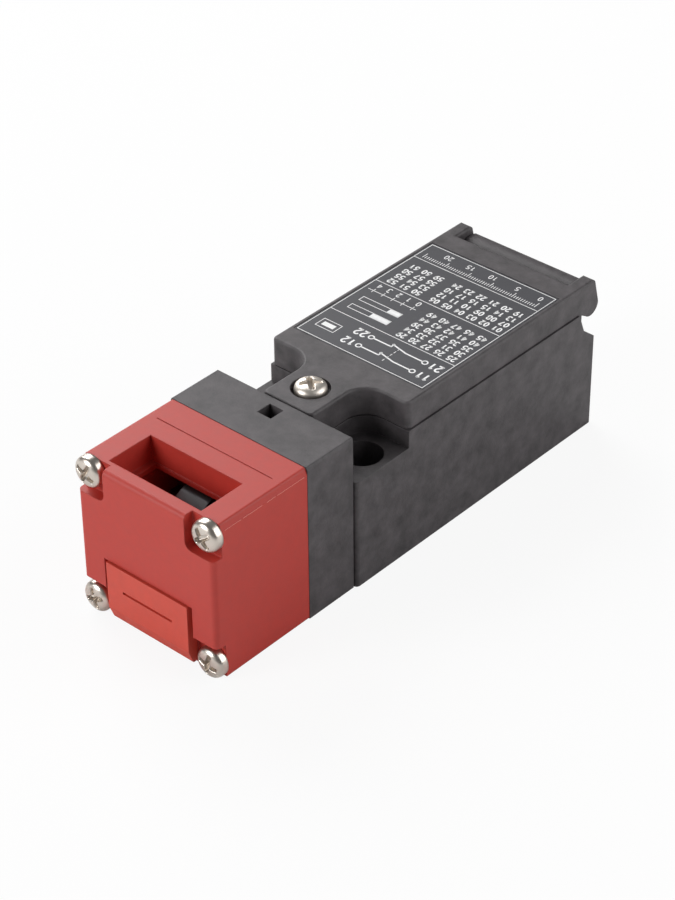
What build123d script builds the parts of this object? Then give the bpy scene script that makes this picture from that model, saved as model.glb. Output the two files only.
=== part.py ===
"""Tongue interlock switch: a key-operated safety switch in a narrow insulated body.

X runs across the switch, +Y towards the cable end, +Z away from the mounting face.
The origin is on the mounting face, midway between the two mounting holes.
All sizes are in millimetres.
"""
from build123d import *
import math
import os

# Body lengths along Y, counted from the mounting hole line
MOUNT_SETBACK = 7.0
HOUSING_LENGTH = 64.2
PARTING_GAP = 0.4
BASE_LENGTH = 10.9
HEAD_LENGTH = 21.7

# Body widths and heights; all widths follow from that of the head
HEAD_WIDTH = 30.0
BASE_WIDTH = HEAD_WIDTH + 0.1
HOUSING_WIDTH = HEAD_WIDTH + 0.8
HOUSING_RIM = 24.85
HOUSING_FLOOR = 3.0
HOUSING_WALL = 2.5
HOUSING_EDGE = 0.8
CAVITY_ROUND = 1.2
REAR_FACE_HEIGHT = 18.3
REAR_SLOPE_RISE = 2.9
REAR_STEP_LENGTH = 1.4
FRONT_PAD_INSET = 0.9
FRONT_PAD_DROP = 0.7
HEAD_BOTTOM = 0.45
HEAD_TOP = 30.6
BASE_BOTTOM = 0.2
BASE_TOP = HEAD_TOP + 0.1
EDGE_ROUND = 1.0
HEAD_BEVEL_ACROSS = 0.35
HEAD_BEVEL_DOWN = 1.3
HEAD_TOP_ROUND = 0.45
BASE_BEVEL_ACROSS = 0.2
BASE_BEVEL_DOWN = 0.6
BASE_TOP_ROUND = 0.25

# Cover
COVER_INSET = 0.25
COVER_HEIGHT = 5.25
COVER_ROOF = 1.6
COVER_WALL = 1.25
COVER_EDGE = 0.5
COVER_INNER_ROUND = 1.4
COVER_RIBS = 3
COVER_RIB_THICKNESS = 1.0
COVER_RIB_DEPTH = 1.0
SEAM_GAP = 0.2
NECK_WIDTH = 11.0
NECK_SETBACK = 0.3
LABEL_POCKET_DEPTH = 0.3
LABEL_POCKET_SIDE = 0.85
LABEL_SETBACK = 4.7
LABEL_REAR_SETBACK = 4.7
LABEL_THICKNESS = 0.25
LABEL_GAP = 0.12

# Hinge of the cover
HINGE_SETBACK = 1.6
HINGE_Z = 25.4
HINGE_BARREL_R = 3.6
EAR_WIDTH = 2.7
HINGE_PIN_R = 1.1
HINGE_PIN_LENGTH = 1.7
HINGE_PIN_PLAY = 0.05
EAR_R = 2.1
EAR_TOP_SETBACK = 0.6
EAR_FOOT_ANGLE = 229.5
EAR_ARC_ANGLE = 300.0
EAR_GAP = 0.3
COVER_TO_HINGE = 3.4
COVER_UNDERCUT = 0.6

# Mounting holes, each in an open corner recess
MOUNT_SPACING = 21.0
MOUNT_HOLE_R = 2.15
MOUNT_SLOT_LENGTH = 5.3
COUNTERBORE_R = 3.6
COUNTERBORE_FLOOR = 15.5
RECESS_FLOOR = 21.5
RECESS_REAR = 6.1
RECESS_CORNER_R = 4.3

# Cable entry, M20 x 1.5
CONDUIT_THREAD_R = 10.0
CONDUIT_PITCH = 1.5
CONDUIT_Z = 12.4
CONDUIT_LENGTH = 11.4
CONDUIT_LEAD = 0.8

# Key slots of the head
FUNNEL_WIDTH = 20.2
FUNNEL_LENGTH = 9.3
FUNNEL_FROM_FACE = 2.8
FUNNEL_DEPTH = 4.8
FUNNEL_TAPER = 2.0
KEY_SLOT_WIDTH = 17.6
KEY_SLOT_LENGTH = 6.6
KEY_SLOT_FROM_FACE = 5.1
SLOT_FLOOR_THICKNESS = 0.9
HEAD_CAVITY_WIDTH = 18.2
HEAD_CAVITY_BOTTOM = 5.2
HEAD_FRONT_WALL = 4.7
HEAD_CAVITY_ROUND = 0.8
END_SLOT_BOTTOM = 5.4
END_SLOT_HEIGHT = 5.2
TOP_GROOVE_FROM_FACE = 16.1
TOP_GROOVE_SIZE = 0.15
TOP_GROOVE_WIDTH = 25.3

# Cap over the end slot
CAP_WIDTH = 18.1
CAP_TOP = 12.7
CAP_BOTTOM = 1.0
CAP_LIP_TOP = 3.5
CAP_LIP_BEVEL = 1.0
CAP_PROUD = 0.4
CAP_POCKET_DEPTH = 1.7
CAP_SIDE_GAP = 0.75
CAP_TOP_GAP = 0.15
CAP_PLUG_GAP = 0.12
CAP_PLUG_WALL = 1.2
CAP_SLIT_WIDTH = 11.0
CAP_SLIT_HEIGHT = 0.5
CAP_SLIT_DEPTH = 0.5
CAP_SLIT_Z = 8.1
CAP_TRAVEL_CLEARANCE = 0.12

# Pan heads, as shares of their radius or height
PAN_RIM = 0.45
PAN_CROWN = 0.55
PAN_SHOULDER_OUT = 0.8
PAN_SHOULDER_UP = 0.85
CROSS_REACH = 1.3
CROSS_ARM = 0.34

# Slot of the plain heads, as a share of their radius
SLOT_SHARE = 0.3

# Head screws
HEAD_SCREW_FROM_SIDE = 2.15
HEAD_SCREW_FROM_BOTTOM = 2.55
HEAD_SCREW_FROM_TOP = 2.4
HEAD_SCREW_R = 1.4
HEAD_SCREW_PLAY = 0.1
HEAD_SCREW_HEAD_R = 2.8
HEAD_SCREW_HEAD_HEIGHT = 2.3
HEAD_SCREW_LENGTH = 28.0
NOTCH_DEPTH = 2.0
NOTCH_REACH = 3.9
NOTCH_CORNER_R = 1.5

# Cam, plunger and their fits
CAM_FROM_FACE = 15.2
CAM_Z = 15.5
CAM_MAX_R = 9.0
PLUNGER_TRAVEL = 4.0
CAM_TURN = 67.0
CAM_SPIRAL_STEPS = 8
CAM_WIDTH = 6.0
CAM_HUB_R = 3.5
CAM_HUB_WIDTH = 17.4
CAM_REST_ARC = 31.0
CAM_TOOTH_ARC = 6.0
CAM_KEY_NOTCH_WIDTH = 3.4
CAM_KEY_NOTCH_DEPTH = 3.4
CAM_KEY_ANGLE = 146.0
CAM_NOTCH_STEP = 90.0
AXLE_R = 1.5
AXLE_LENGTH = 24.0
AXLE_POST_GAP = 0.15
RUNNING_PLAY = 0.05
CAM_TIP_GAP = 0.3
PLUNGER_R = 2.5
PLUNGER_TIP_R = 1.2
PLUNGER_TIP_CONE = 1.5
COLLAR_R = 3.4
COLLAR_THICKNESS = 1.2
COLLAR_FRONT = -3.6
BUSH_R = 4.5
BUSH_LENGTH = 4.7
BUSH_FRONT = -14.2
SEAL_LENGTH = 1.4
SEAL_GAP = 0.1
CAM_WELL_CLEARANCE = 0.4

# Plunger passage and return spring
PASSAGE_R = 3.8
PASSAGE_STEP = 5.0
PASSAGE_NARROW_R = 2.7
SPRING_WIRE_R = 0.3
SPRING_R = 3.1
SPRING_TURNS = 4.5
SPRING_WIRE_SIDES = 4

# Snap hook between housing and head base
HOOK_WIDTH = 2.6
HOOK_TONGUE_WIDTH = 5.8
HOOK_TONGUE_BOTTOM = 21.7
HOOK_TONGUE_TOP = 23.5
HOOK_TOP = 25.2
HOOK_TIP_LENGTH = 1.0
HOOK_PLAY = 0.2
WINDOW_WIDTH = 3.0
WINDOW_LENGTH = 3.05
WINDOW_FROM_BASE_REAR = 1.6

# Screws that join head base and housing
BASE_SCREW_X = 4.5
BASE_SCREW_Z = 6.0
BASE_SCREW_R = 1.4
BASE_SCREW_HEAD_R = 2.7
SCREW_HEAD_PLAY = 0.3
BASE_SCREW_HEAD_HEIGHT = 2.0
BASE_SCREW_SEAT = 5.0
BASE_SCREW_DEPTH_IN_BASE = 5.0

# Cover screw, its ring and its insert
COVER_SCREW_Y = -0.8
COVER_SCREW_R = 1.2
COVER_SCREW_HEAD_R = 2.8
COVER_SCREW_HEAD_HEIGHT = 2.5
COVER_SCREW_SINK = 1.3
COVER_SCREW_LENGTH = 8.9
COVER_SCREW_HOLE_R = 1.45
COVER_SCREW_RECESS_R = 3.4
COVER_SCREW_TRAVEL = 4.0
RING_BOTTOM = 23.3
RING_THICKNESS = 0.6
RING_R = 2.8
RING_POCKET_R = 3.5
RING_TRAVEL_CLEARANCE = 0.15
INSERT_R = 2.2
INSERT_BORE_R = 1.5
INSERT_BOTTOM = 19.6
INSERT_TOP = 23.0

# Gasket in the cover
GASKET_WIDTH = 0.95
GASKET_HEIGHT = 1.6
GASKET_FIT = 0.05
GASKET_PROUD = 0.1

# Housing cavity and contact block
CAVITY_FRONT = 8.7
BLOCK_GAP = 0.4
BLOCK_CASE_TOP = 19.0
BLOCK_LID_THICKNESS = 1.2
BLOCK_FRONT_WALL = 1.2
BLOCK_REAR_WALL = 1.4
BLOCK_FLANGE_LENGTH = 5.8
BLOCK_FLANGE_GAP = 0.5
BLOCK_FLANGE_HEIGHT = 2.4
BLOCK_SCREW_X = 9.0
BLOCK_SCREW_R = 1.4
BLOCK_SCREW_HEAD_R = 2.6
BLOCK_SCREW_HEAD_HEIGHT = 1.8
BLOCK_SCREW_TIP = 0.9
CHAMBER_WIDTH = 20.4
CHAMBER_BOTTOM = 12.0
CHAMBER_LENGTH = 8.4
CHAMBER_STARTS = (11.6, 21.6)
BARRIER_THICKNESS = 1.6
BARRIER_HEIGHT = 3.6

# Contact carrier and contacts
CARRIER_WIDTH = 5.6
CARRIER_HEIGHT = 5.2
CARRIER_NOSE_R = 2.2
CARRIER_NOSE_START = 9.0
CARRIER_START = 14.6
CARRIER_END_GAP = 1.3
CARRIER_PLAY = 0.3
CARRIER_NOSE_PLAY = 0.3
CARRIER_SPRING_R = 1.5
CARRIER_SPRING_WIRE_R = 0.25
CARRIER_SPRING_TURNS = 4
CARRIER_SPRING_BORE_R = 2.0
CARRIER_SPRING_BORE_DEPTH = 3.4
BRIDGE_FROM_CHAMBER = 6.9
BRIDGE_LENGTH = 18.0
BRIDGE_HEIGHT = 2.6
BRIDGE_THICKNESS = 0.6
BUTTON_R = 1.1
BUTTON_HEIGHT = 0.7
BUTTON_X = 7.6
WINDOW_AHEAD = 0.6
WINDOW_BEHIND = 4.1
CARRIER_WINDOW_HEIGHT = 3.8
CONTACT_SPRING_R = 1.2
CONTACT_SPRING_WIRE_R = 0.2
CONTACT_SPRING_TURNS = 2.5
BLADE_WIDTH = 3.2
BLADE_THICKNESS = 0.8
BLADE_PLAY = 0.1
BLADE_BELOW_BUTTON = 0.6
BLADE_FROM_CHAMBER = 0.4
CONTACT_CLOSED_GAP = 0.3
TAB_THICKNESS = 0.8
TAB_LENGTH = 7.0
TAB_WIDTH = 6.4
TAB_X = 8.3
CLAMP_SIZE = 6.0
CLAMP_THICKNESS = 0.9
TERMINAL_SCREW_R = 1.5
TERMINAL_SCREW_PLAY = 0.1
TERMINAL_HEAD_R = 2.7
TERMINAL_HEAD_HEIGHT = 1.7
TERMINAL_SCREW_DEPTH = 0.9

# Stations and heights that follow from the sizes above
HOUSING_FRONT = -MOUNT_SETBACK
HOUSING_REAR = HOUSING_FRONT + HOUSING_LENGTH
HINGE_Y = HOUSING_REAR - HINGE_SETBACK
BASE_REAR = HOUSING_FRONT - PARTING_GAP
BASE_FRONT = BASE_REAR - BASE_LENGTH
HEAD_FRONT = BASE_FRONT - HEAD_LENGTH
HEAD_SCREW_X = HEAD_WIDTH / 2 - HEAD_SCREW_FROM_SIDE
HEAD_SCREW_Z_LOW = HEAD_BOTTOM + HEAD_SCREW_FROM_BOTTOM
HEAD_SCREW_Z_HIGH = HEAD_TOP - HEAD_SCREW_FROM_TOP
CAM_Y = HEAD_FRONT + CAM_FROM_FACE
CAM_MIN_R = CAM_MAX_R - PLUNGER_TRAVEL
PLUNGER_TIP = CAM_Y + CAM_MAX_R + CAM_TIP_GAP
COVER_BOTTOM = HOUSING_RIM + SEAM_GAP
COVER_TOP = COVER_BOTTOM + COVER_HEIGHT
COVER_WIDTH = HOUSING_WIDTH - 2 * COVER_INSET
COVER_SCREW_SEAT = COVER_TOP - COVER_SCREW_SINK
COVER_SCREW_TIP = COVER_SCREW_SEAT - COVER_SCREW_LENGTH
COVER_REAR = HINGE_Y - COVER_TO_HINGE
NECK_FRONT = HOUSING_FRONT + NECK_SETBACK
CAVITY_REAR = HOUSING_REAR - CONDUIT_LENGTH
CONDUIT_BORE_R = CONDUIT_THREAD_R - 0.5413 * CONDUIT_PITCH
BLOCK_FRONT = CAVITY_FRONT + BLOCK_GAP
BLOCK_REAR = CAVITY_REAR - BLOCK_FLANGE_GAP - BLOCK_FLANGE_LENGTH
BLOCK_WIDTH = HOUSING_WIDTH - 2 * HOUSING_WALL - 2 * BLOCK_GAP
CARRIER_END = BLOCK_REAR - BLOCK_REAR_WALL - CARRIER_END_GAP
BLOCK_TOP = BLOCK_CASE_TOP + BLOCK_LID_THICKNESS
FUNNEL_FLOOR = HEAD_TOP - FUNNEL_DEPTH
HEAD_CAVITY_TOP = FUNNEL_FLOOR - SLOT_FLOOR_THICKNESS
EAR_INNER = COVER_WIDTH / 2 - EAR_WIDTH
HINGE_BARREL_WIDTH = 2 * (EAR_INNER - EAR_GAP)
LABEL_START = RECESS_REAR + LABEL_SETBACK
LABEL_END = COVER_REAR - LABEL_REAR_SETBACK
LABEL_POCKET_WIDTH = COVER_WIDTH - 2 * LABEL_POCKET_SIDE
CUT = 1.0
TOUCH = 0.01


def block(x0, x1, y0, y1, z0, z1):
    """Rectangular solid between two corners."""
    centre = Pos((x0 + x1) / 2, (y0 + y1) / 2, (z0 + z1) / 2)
    return centre * Box(x1 - x0, y1 - y0, z1 - z0)


def rod_x(y, z, x0, x1, radius):
    """Round bar along X."""
    return Pos((x0 + x1) / 2, y, z) * Rot(0, 90, 0) * Cylinder(radius, x1 - x0)


def rod_y(x, z, y0, y1, radius):
    """Round bar along Y."""
    return Pos(x, (y0 + y1) / 2, z) * Rot(90, 0, 0) * Cylinder(radius, y1 - y0)


def rod_z(x, y, z0, z1, radius):
    """Round bar along Z."""
    return Pos(x, y, (z0 + z1) / 2) * Cylinder(radius, z1 - z0)


def side_profile(points, x0, x1):
    """Solid whose outline in the Y-Z plane is a polygon, carried across from x0 to x1."""
    outline = make_face(Plane.YZ * Polyline(*points, close=True))
    return Pos(x0, 0, 0) * extrude(outline, x1 - x0, dir=(1, 0, 0))


def cross_profile(points, y0, y1):
    """Solid whose outline in the X-Z plane is a polygon, carried along from y0 to y1."""
    outline = make_face(Plane.XZ * Polyline(*points, close=True))
    return Pos(0, y0, 0) * extrude(outline, y1 - y0, dir=(0, 1, 0))


def mirrored(solid):
    """The solid and its image on the other side of the switch."""
    return [solid, mirror(solid, about=Plane.YZ)]


def corners_at(face, half_width, y):
    """Corners of a flat outline at one Y, at the given distance left and right of X = 0."""
    return [v for v in face.vertices()
            if abs(abs(v.X) - half_width) < TOUCH and abs(v.Y - y) < TOUCH]


def pan_head(radius, height):
    """Cross-recess screw head, standing on Z = 0, its dome made of two cone bands."""
    shoulder = (PAN_SHOULDER_OUT * radius, PAN_SHOULDER_UP * height)
    profile = Polyline((0, 0), (radius, 0), (radius, PAN_RIM * height), shoulder,
                       (PAN_CROWN * radius, height), (0, height), close=True)
    head = revolve(Plane.XZ * make_face(profile), Axis.Z)
    for turn in (0, 90):
        slot = Rot(0, 0, turn) * Box(CROSS_REACH * radius, CROSS_ARM * radius, height)
        head -= Pos(0, 0, height) * slot
    return head


def slotted_head(radius, height):
    """Plain cylindrical screw head with one straight slot, standing on Z = 0."""
    head = rod_z(0, 0, 0, height, radius)
    return head - Pos(0, 0, height) * Box(3 * radius, SLOT_SHARE * radius, height)


def spring_coil(radius, wire, length, turns):
    """Helical compression spring standing on Z = 0, with plain ends."""
    path = Helix(length / turns, length, radius)
    section = Plane(path @ 0, z_dir=path % 0) * RegularPolygon(wire, SPRING_WIRE_SIDES)
    return sweep(section, path=path)


def head_shell():
    """Red operating head: bevelled block with a funnel slot on top, a slot in its end
    face, four screw notches and a cavity for the cam, open towards the head base."""
    half = HEAD_WIDTH / 2
    body = cross_profile(
        [
            (-half, HEAD_BOTTOM),
            (half, HEAD_BOTTOM),
            (half, HEAD_TOP - HEAD_BEVEL_DOWN),
            (half - HEAD_BEVEL_ACROSS, HEAD_TOP),
            (-half + HEAD_BEVEL_ACROSS, HEAD_TOP),
            (-half, HEAD_TOP - HEAD_BEVEL_DOWN),
        ],
        HEAD_FRONT,
        BASE_FRONT,
    )
    body = fillet(body.faces().sort_by(Axis.Z)[-1].edges().filter_by(Axis.Y), HEAD_TOP_ROUND)
    body = fillet(body.faces().sort_by(Axis.Y)[0].edges(), EDGE_ROUND)
    funnel_start = HEAD_FRONT + FUNNEL_FROM_FACE
    funnel_mid = funnel_start + FUNNEL_LENGTH / 2
    mouth = Pos(0, funnel_mid, HEAD_TOP) * Rectangle(FUNNEL_WIDTH, FUNNEL_LENGTH)
    body -= extrude(mouth, -FUNNEL_DEPTH, taper=FUNNEL_TAPER)
    slot_start = HEAD_FRONT + KEY_SLOT_FROM_FACE
    half_slot = KEY_SLOT_WIDTH / 2
    body -= block(-half_slot, half_slot, slot_start, slot_start + KEY_SLOT_LENGTH,
                  HEAD_CAVITY_TOP - CUT, FUNNEL_FLOOR + CUT)
    half_cavity = HEAD_CAVITY_WIDTH / 2
    cavity_front = HEAD_FRONT + HEAD_FRONT_WALL
    cavity = block(-half_cavity, half_cavity, cavity_front, BASE_FRONT + CUT,
                   HEAD_CAVITY_BOTTOM, HEAD_CAVITY_TOP)
    body -= fillet(cavity.edges().filter_by(Axis.Y), HEAD_CAVITY_ROUND)
    body -= block(-half_slot, half_slot, HEAD_FRONT - CUT, cavity_front + CUT,
                  END_SLOT_BOTTOM, END_SLOT_BOTTOM + END_SLOT_HEIGHT)
    half_pocket = CAP_WIDTH / 2 + CAP_SIDE_GAP
    body -= block(-half_pocket, half_pocket, HEAD_FRONT - CUT, HEAD_FRONT + CAP_POCKET_DEPTH,
                  HEAD_BOTTOM - CUT, CAP_TOP + CAP_TOP_GAP)
    reach = HEAD_SCREW_X - NOTCH_REACH
    for screw_z in (HEAD_SCREW_Z_LOW, HEAD_SCREW_Z_HIGH):
        low = screw_z - NOTCH_REACH
        notch = block(reach, half + CUT, HEAD_FRONT - CUT, HEAD_FRONT + NOTCH_DEPTH,
                      low - NOTCH_REACH, low + 2 * NOTCH_REACH)
        if screw_z == HEAD_SCREW_Z_HIGH:
            notch = block(reach, half + CUT, HEAD_FRONT - CUT, HEAD_FRONT + NOTCH_DEPTH,
                          low, HEAD_TOP + CUT)
        inner = notch.edges().filter_by(Axis.Y).sort_by(Axis.X)[0:2]
        height_key = Axis.Z if screw_z == HEAD_SCREW_Z_LOW else -Axis.Z
        notch = fillet(inner.sort_by(height_key)[-1], NOTCH_CORNER_R)
        hole = rod_y(HEAD_SCREW_X, screw_z, HEAD_FRONT - CUT, BASE_FRONT + CUT,
                     HEAD_SCREW_R + HEAD_SCREW_PLAY)
        for cut in mirrored(notch) + mirrored(hole):
            body -= cut
    axle_seat = AXLE_LENGTH / 2 + RUNNING_PLAY
    body -= block(-axle_seat, axle_seat, CAM_Y, BASE_FRONT + CUT,
                  CAM_Z - AXLE_R - RUNNING_PLAY, CAM_Z + AXLE_R + RUNNING_PLAY)
    body -= rod_x(CAM_Y, CAM_Z, -axle_seat, axle_seat, AXLE_R + RUNNING_PLAY)
    groove = HEAD_FRONT + TOP_GROOVE_FROM_FACE
    body -= block(-TOP_GROOVE_WIDTH / 2, TOP_GROOVE_WIDTH / 2, groove,
                  groove + TOP_GROOVE_SIZE, HEAD_TOP - TOP_GROOVE_SIZE, HEAD_TOP + CUT)
    return body


def slot_cap():
    """Snap-in cap of the end slot: a plate with a bevelled lip, a moulded slit and a
    hollow plug that fills the slot behind it."""
    face = HEAD_FRONT - CAP_PROUD
    back = HEAD_FRONT + CAP_POCKET_DEPTH - CAP_TRAVEL_CLEARANCE
    lip = face + CAP_LIP_BEVEL
    plate = side_profile(
        [(face, CAP_LIP_TOP), (face, CAP_TOP), (back, CAP_TOP), (back, CAP_BOTTOM), (lip, CAP_BOTTOM)],
        -CAP_WIDTH / 2, CAP_WIDTH / 2,
    )
    half = KEY_SLOT_WIDTH / 2 - CAP_PLUG_GAP
    low = END_SLOT_BOTTOM + CAP_PLUG_GAP
    high = END_SLOT_BOTTOM + END_SLOT_HEIGHT - CAP_PLUG_GAP
    end = HEAD_FRONT + HEAD_FRONT_WALL
    plug = block(-half, half, back, end, low, high)
    plug -= block(-half + CAP_PLUG_WALL, half - CAP_PLUG_WALL, back + CUT, end + CUT,
                  low + CAP_PLUG_WALL, high - CAP_PLUG_WALL)
    cap = plate + plug
    cap -= block(-CAP_SLIT_WIDTH / 2, CAP_SLIT_WIDTH / 2, face - CUT, face + CAP_SLIT_DEPTH,
                 CAP_SLIT_Z - CAP_SLIT_HEIGHT / 2, CAP_SLIT_Z + CAP_SLIT_HEIGHT / 2)
    return cap


def head_screws():
    """Four long pan-head screws that clamp the head to its base."""
    seat = HEAD_FRONT + NOTCH_DEPTH
    screws = []
    for x in (-HEAD_SCREW_X, HEAD_SCREW_X):
        for z in (HEAD_SCREW_Z_LOW, HEAD_SCREW_Z_HIGH):
            head = pan_head(HEAD_SCREW_HEAD_R, HEAD_SCREW_HEAD_HEIGHT)
            screw = Pos(x, seat, z) * Rot(90, 0, 0) * head
            screws.append(screw + rod_y(x, z, seat, seat + HEAD_SCREW_LENGTH, HEAD_SCREW_R))
    return screws


def cam_rotor():
    """Cam that the tongue turns. Its rear edge is a spiral whose radius falls in
    proportion to the angle, so the plunger moves in proportion to the turn. Two notches
    at the front take the cross-bar of the tongue, one for each key slot."""
    rate = PLUNGER_TRAVEL / math.radians(CAM_TURN)

    def polar(radius, degrees):
        angle = math.radians(degrees)
        return (radius * math.cos(angle), radius * math.sin(angle))

    spiral_angles = [-CAM_TURN * i / CAM_SPIRAL_STEPS for i in range(CAM_SPIRAL_STEPS + 1)]
    spiral = [polar(CAM_MAX_R + rate * math.radians(a), a) for a in spiral_angles]
    rest_end = -CAM_TURN - CAM_REST_ARC
    tooth_foot = rest_end - CAM_TOOTH_ARC
    rim_mid = (360 + tooth_foot) / 2
    outline = Spline(*spiral)
    outline += ThreePointArc(spiral[-1], polar(CAM_MIN_R, -CAM_TURN - CAM_REST_ARC / 2),
                             polar(CAM_MIN_R, rest_end))
    outline += Line(polar(CAM_MIN_R, rest_end), polar(CAM_MAX_R, tooth_foot))
    outline += ThreePointArc(polar(CAM_MAX_R, tooth_foot), polar(CAM_MAX_R, rim_mid),
                             polar(CAM_MAX_R, 0))
    disc = extrude(Plane.YZ * make_face(outline), CAM_WIDTH / 2, both=True)
    for angle in (CAM_KEY_ANGLE, CAM_KEY_ANGLE + CAM_NOTCH_STEP):
        notch = Box(CAM_WIDTH + CUT, 2 * CAM_KEY_NOTCH_DEPTH, CAM_KEY_NOTCH_WIDTH)
        disc -= Rot(angle, 0, 0) * Pos(0, CAM_MAX_R, 0) * notch
    rotor = Pos(0, CAM_Y, CAM_Z) * disc
    rotor += rod_x(CAM_Y, CAM_Z, -CAM_HUB_WIDTH / 2, CAM_HUB_WIDTH / 2, CAM_HUB_R)
    rotor -= rod_x(CAM_Y, CAM_Z, -CAM_HUB_WIDTH, CAM_HUB_WIDTH, AXLE_R + RUNNING_PLAY)
    return rotor


def cam_axle():
    """Steel axle of the cam, held in the open seats of the head shell."""
    return rod_x(CAM_Y, CAM_Z, -AXLE_LENGTH / 2, AXLE_LENGTH / 2, AXLE_R)


def plunger():
    """Plunger with a rounded tip that follows the cam, and a collar for its spring."""
    shoulder = PLUNGER_R - PLUNGER_TIP_R
    outline = Polyline((0, CARRIER_NOSE_START), (PLUNGER_R, CARRIER_NOSE_START),
                       (PLUNGER_R, COLLAR_FRONT + COLLAR_THICKNESS),
                       (COLLAR_R, COLLAR_FRONT + COLLAR_THICKNESS), (COLLAR_R, COLLAR_FRONT),
                       (PLUNGER_R, COLLAR_FRONT),
                       (PLUNGER_R, PLUNGER_TIP + PLUNGER_TIP_R + shoulder * PLUNGER_TIP_CONE),
                       (PLUNGER_TIP_R, PLUNGER_TIP + PLUNGER_TIP_R))
    dip = PLUNGER_TIP_R * (1 - math.sqrt(0.5))
    outline += ThreePointArc((PLUNGER_TIP_R, PLUNGER_TIP + PLUNGER_TIP_R),
                             (PLUNGER_TIP_R * math.sqrt(0.5), PLUNGER_TIP + dip),
                             (0, PLUNGER_TIP))
    outline += Line((0, PLUNGER_TIP), (0, CARRIER_NOSE_START))
    return Pos(0, 0, CAM_Z) * revolve(make_face(outline), Axis.Y)


def guide_bush():
    """Plain bush in the head base that guides the plunger."""
    bush = rod_y(0, CAM_Z, BUSH_FRONT, BUSH_FRONT + BUSH_LENGTH, BUSH_R)
    return bush - rod_y(0, CAM_Z, BUSH_FRONT - CUT, BASE_REAR, PLUNGER_R + RUNNING_PLAY)


def plunger_seal():
    """Rubber ring round the plunger, behind its bush."""
    start = BUSH_FRONT + BUSH_LENGTH + SEAL_GAP
    ring = rod_y(0, CAM_Z, start, start + SEAL_LENGTH, BUSH_R)
    return ring - rod_y(0, CAM_Z, start - CUT, start + SEAL_LENGTH + CUT, PLUNGER_R + RUNNING_PLAY)


def plunger_spring():
    """Return spring between the plunger's collar and the step of its passage."""
    start = COLLAR_FRONT + COLLAR_THICKNESS + SPRING_WIRE_R
    length = PASSAGE_STEP - SPRING_WIRE_R - start
    coil = spring_coil(SPRING_R, SPRING_WIRE_R, length, SPRING_TURNS)
    return Pos(0, start, CAM_Z) * Rot(-90, 0, 0) * coil


def head_base():
    """Black block between the red head and the housing: it takes the head screws, guides
    the plunger and snaps over the hook of the housing."""
    half = BASE_WIDTH / 2
    body = cross_profile(
        [
            (-half, BASE_BOTTOM),
            (half, BASE_BOTTOM),
            (half, BASE_TOP - BASE_BEVEL_DOWN),
            (half - BASE_BEVEL_ACROSS, BASE_TOP),
            (-half + BASE_BEVEL_ACROSS, BASE_TOP),
            (-half, BASE_TOP - BASE_BEVEL_DOWN),
        ],
        BASE_FRONT,
        BASE_REAR,
    )
    body = fillet(body.faces().sort_by(Axis.Z)[-1].edges().filter_by(Axis.Y), BASE_TOP_ROUND)
    well = CAM_MAX_R + CAM_WELL_CLEARANCE
    half_cam = CAM_WIDTH / 2 + CAM_WELL_CLEARANCE
    body -= rod_x(CAM_Y, CAM_Z, -half_cam, half_cam, well)
    body -= rod_y(0, CAM_Z, BASE_FRONT, BUSH_FRONT, PLUNGER_R + CAM_WELL_CLEARANCE)
    seal_end = BUSH_FRONT + BUSH_LENGTH + SEAL_GAP + SEAL_LENGTH
    body -= rod_y(0, CAM_Z, BUSH_FRONT, seal_end, BUSH_R)
    body -= rod_y(0, CAM_Z, seal_end, BASE_REAR + CUT, PASSAGE_R)
    post_inner = HEAD_CAVITY_WIDTH / 2 + AXLE_POST_GAP
    post_outer = AXLE_LENGTH / 2 - AXLE_POST_GAP
    post_half = AXLE_R - AXLE_POST_GAP
    post = block(post_inner, post_outer, CAM_Y + AXLE_R + AXLE_POST_GAP, BASE_FRONT,
                 CAM_Z - post_half, CAM_Z + post_half)
    for part in mirrored(post):
        body += part
    for x in (-HEAD_SCREW_X, HEAD_SCREW_X):
        for z in (HEAD_SCREW_Z_LOW, HEAD_SCREW_Z_HIGH):
            end = HEAD_FRONT + NOTCH_DEPTH + HEAD_SCREW_LENGTH
            body -= rod_y(x, z, BASE_FRONT - CUT, end, HEAD_SCREW_R)
    for x in (-BASE_SCREW_X, BASE_SCREW_X):
        body -= rod_y(x, BASE_SCREW_Z, BASE_REAR - BASE_SCREW_DEPTH_IN_BASE, BASE_REAR + CUT,
                      BASE_SCREW_R)
    window_end = BASE_REAR - WINDOW_FROM_BASE_REAR
    body -= block(-WINDOW_WIDTH / 2, WINDOW_WIDTH / 2, window_end - WINDOW_LENGTH, window_end,
                  HOOK_TONGUE_BOTTOM, BASE_TOP + CUT)
    half_tongue = HOOK_TONGUE_WIDTH / 2 + HOOK_PLAY
    body -= block(-half_tongue, half_tongue, window_end - WINDOW_LENGTH - HOOK_PLAY,
                  BASE_REAR + CUT, HOOK_TONGUE_BOTTOM - HOOK_PLAY, HOOK_TONGUE_TOP + HOOK_PLAY)
    return body


def base_screws():
    """Two screws that pull the head base to the housing, put in from inside."""
    screws = []
    for x in (-BASE_SCREW_X, BASE_SCREW_X):
        head = slotted_head(BASE_SCREW_HEAD_R, BASE_SCREW_HEAD_HEIGHT)
        screw = Pos(x, BASE_SCREW_SEAT, BASE_SCREW_Z) * Rot(-90, 0, 0) * head
        shank = rod_y(x, BASE_SCREW_Z, BASE_REAR - BASE_SCREW_DEPTH_IN_BASE, BASE_SCREW_SEAT,
                      BASE_SCREW_R)
        screws.append(screw + shank)
    return screws


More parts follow.
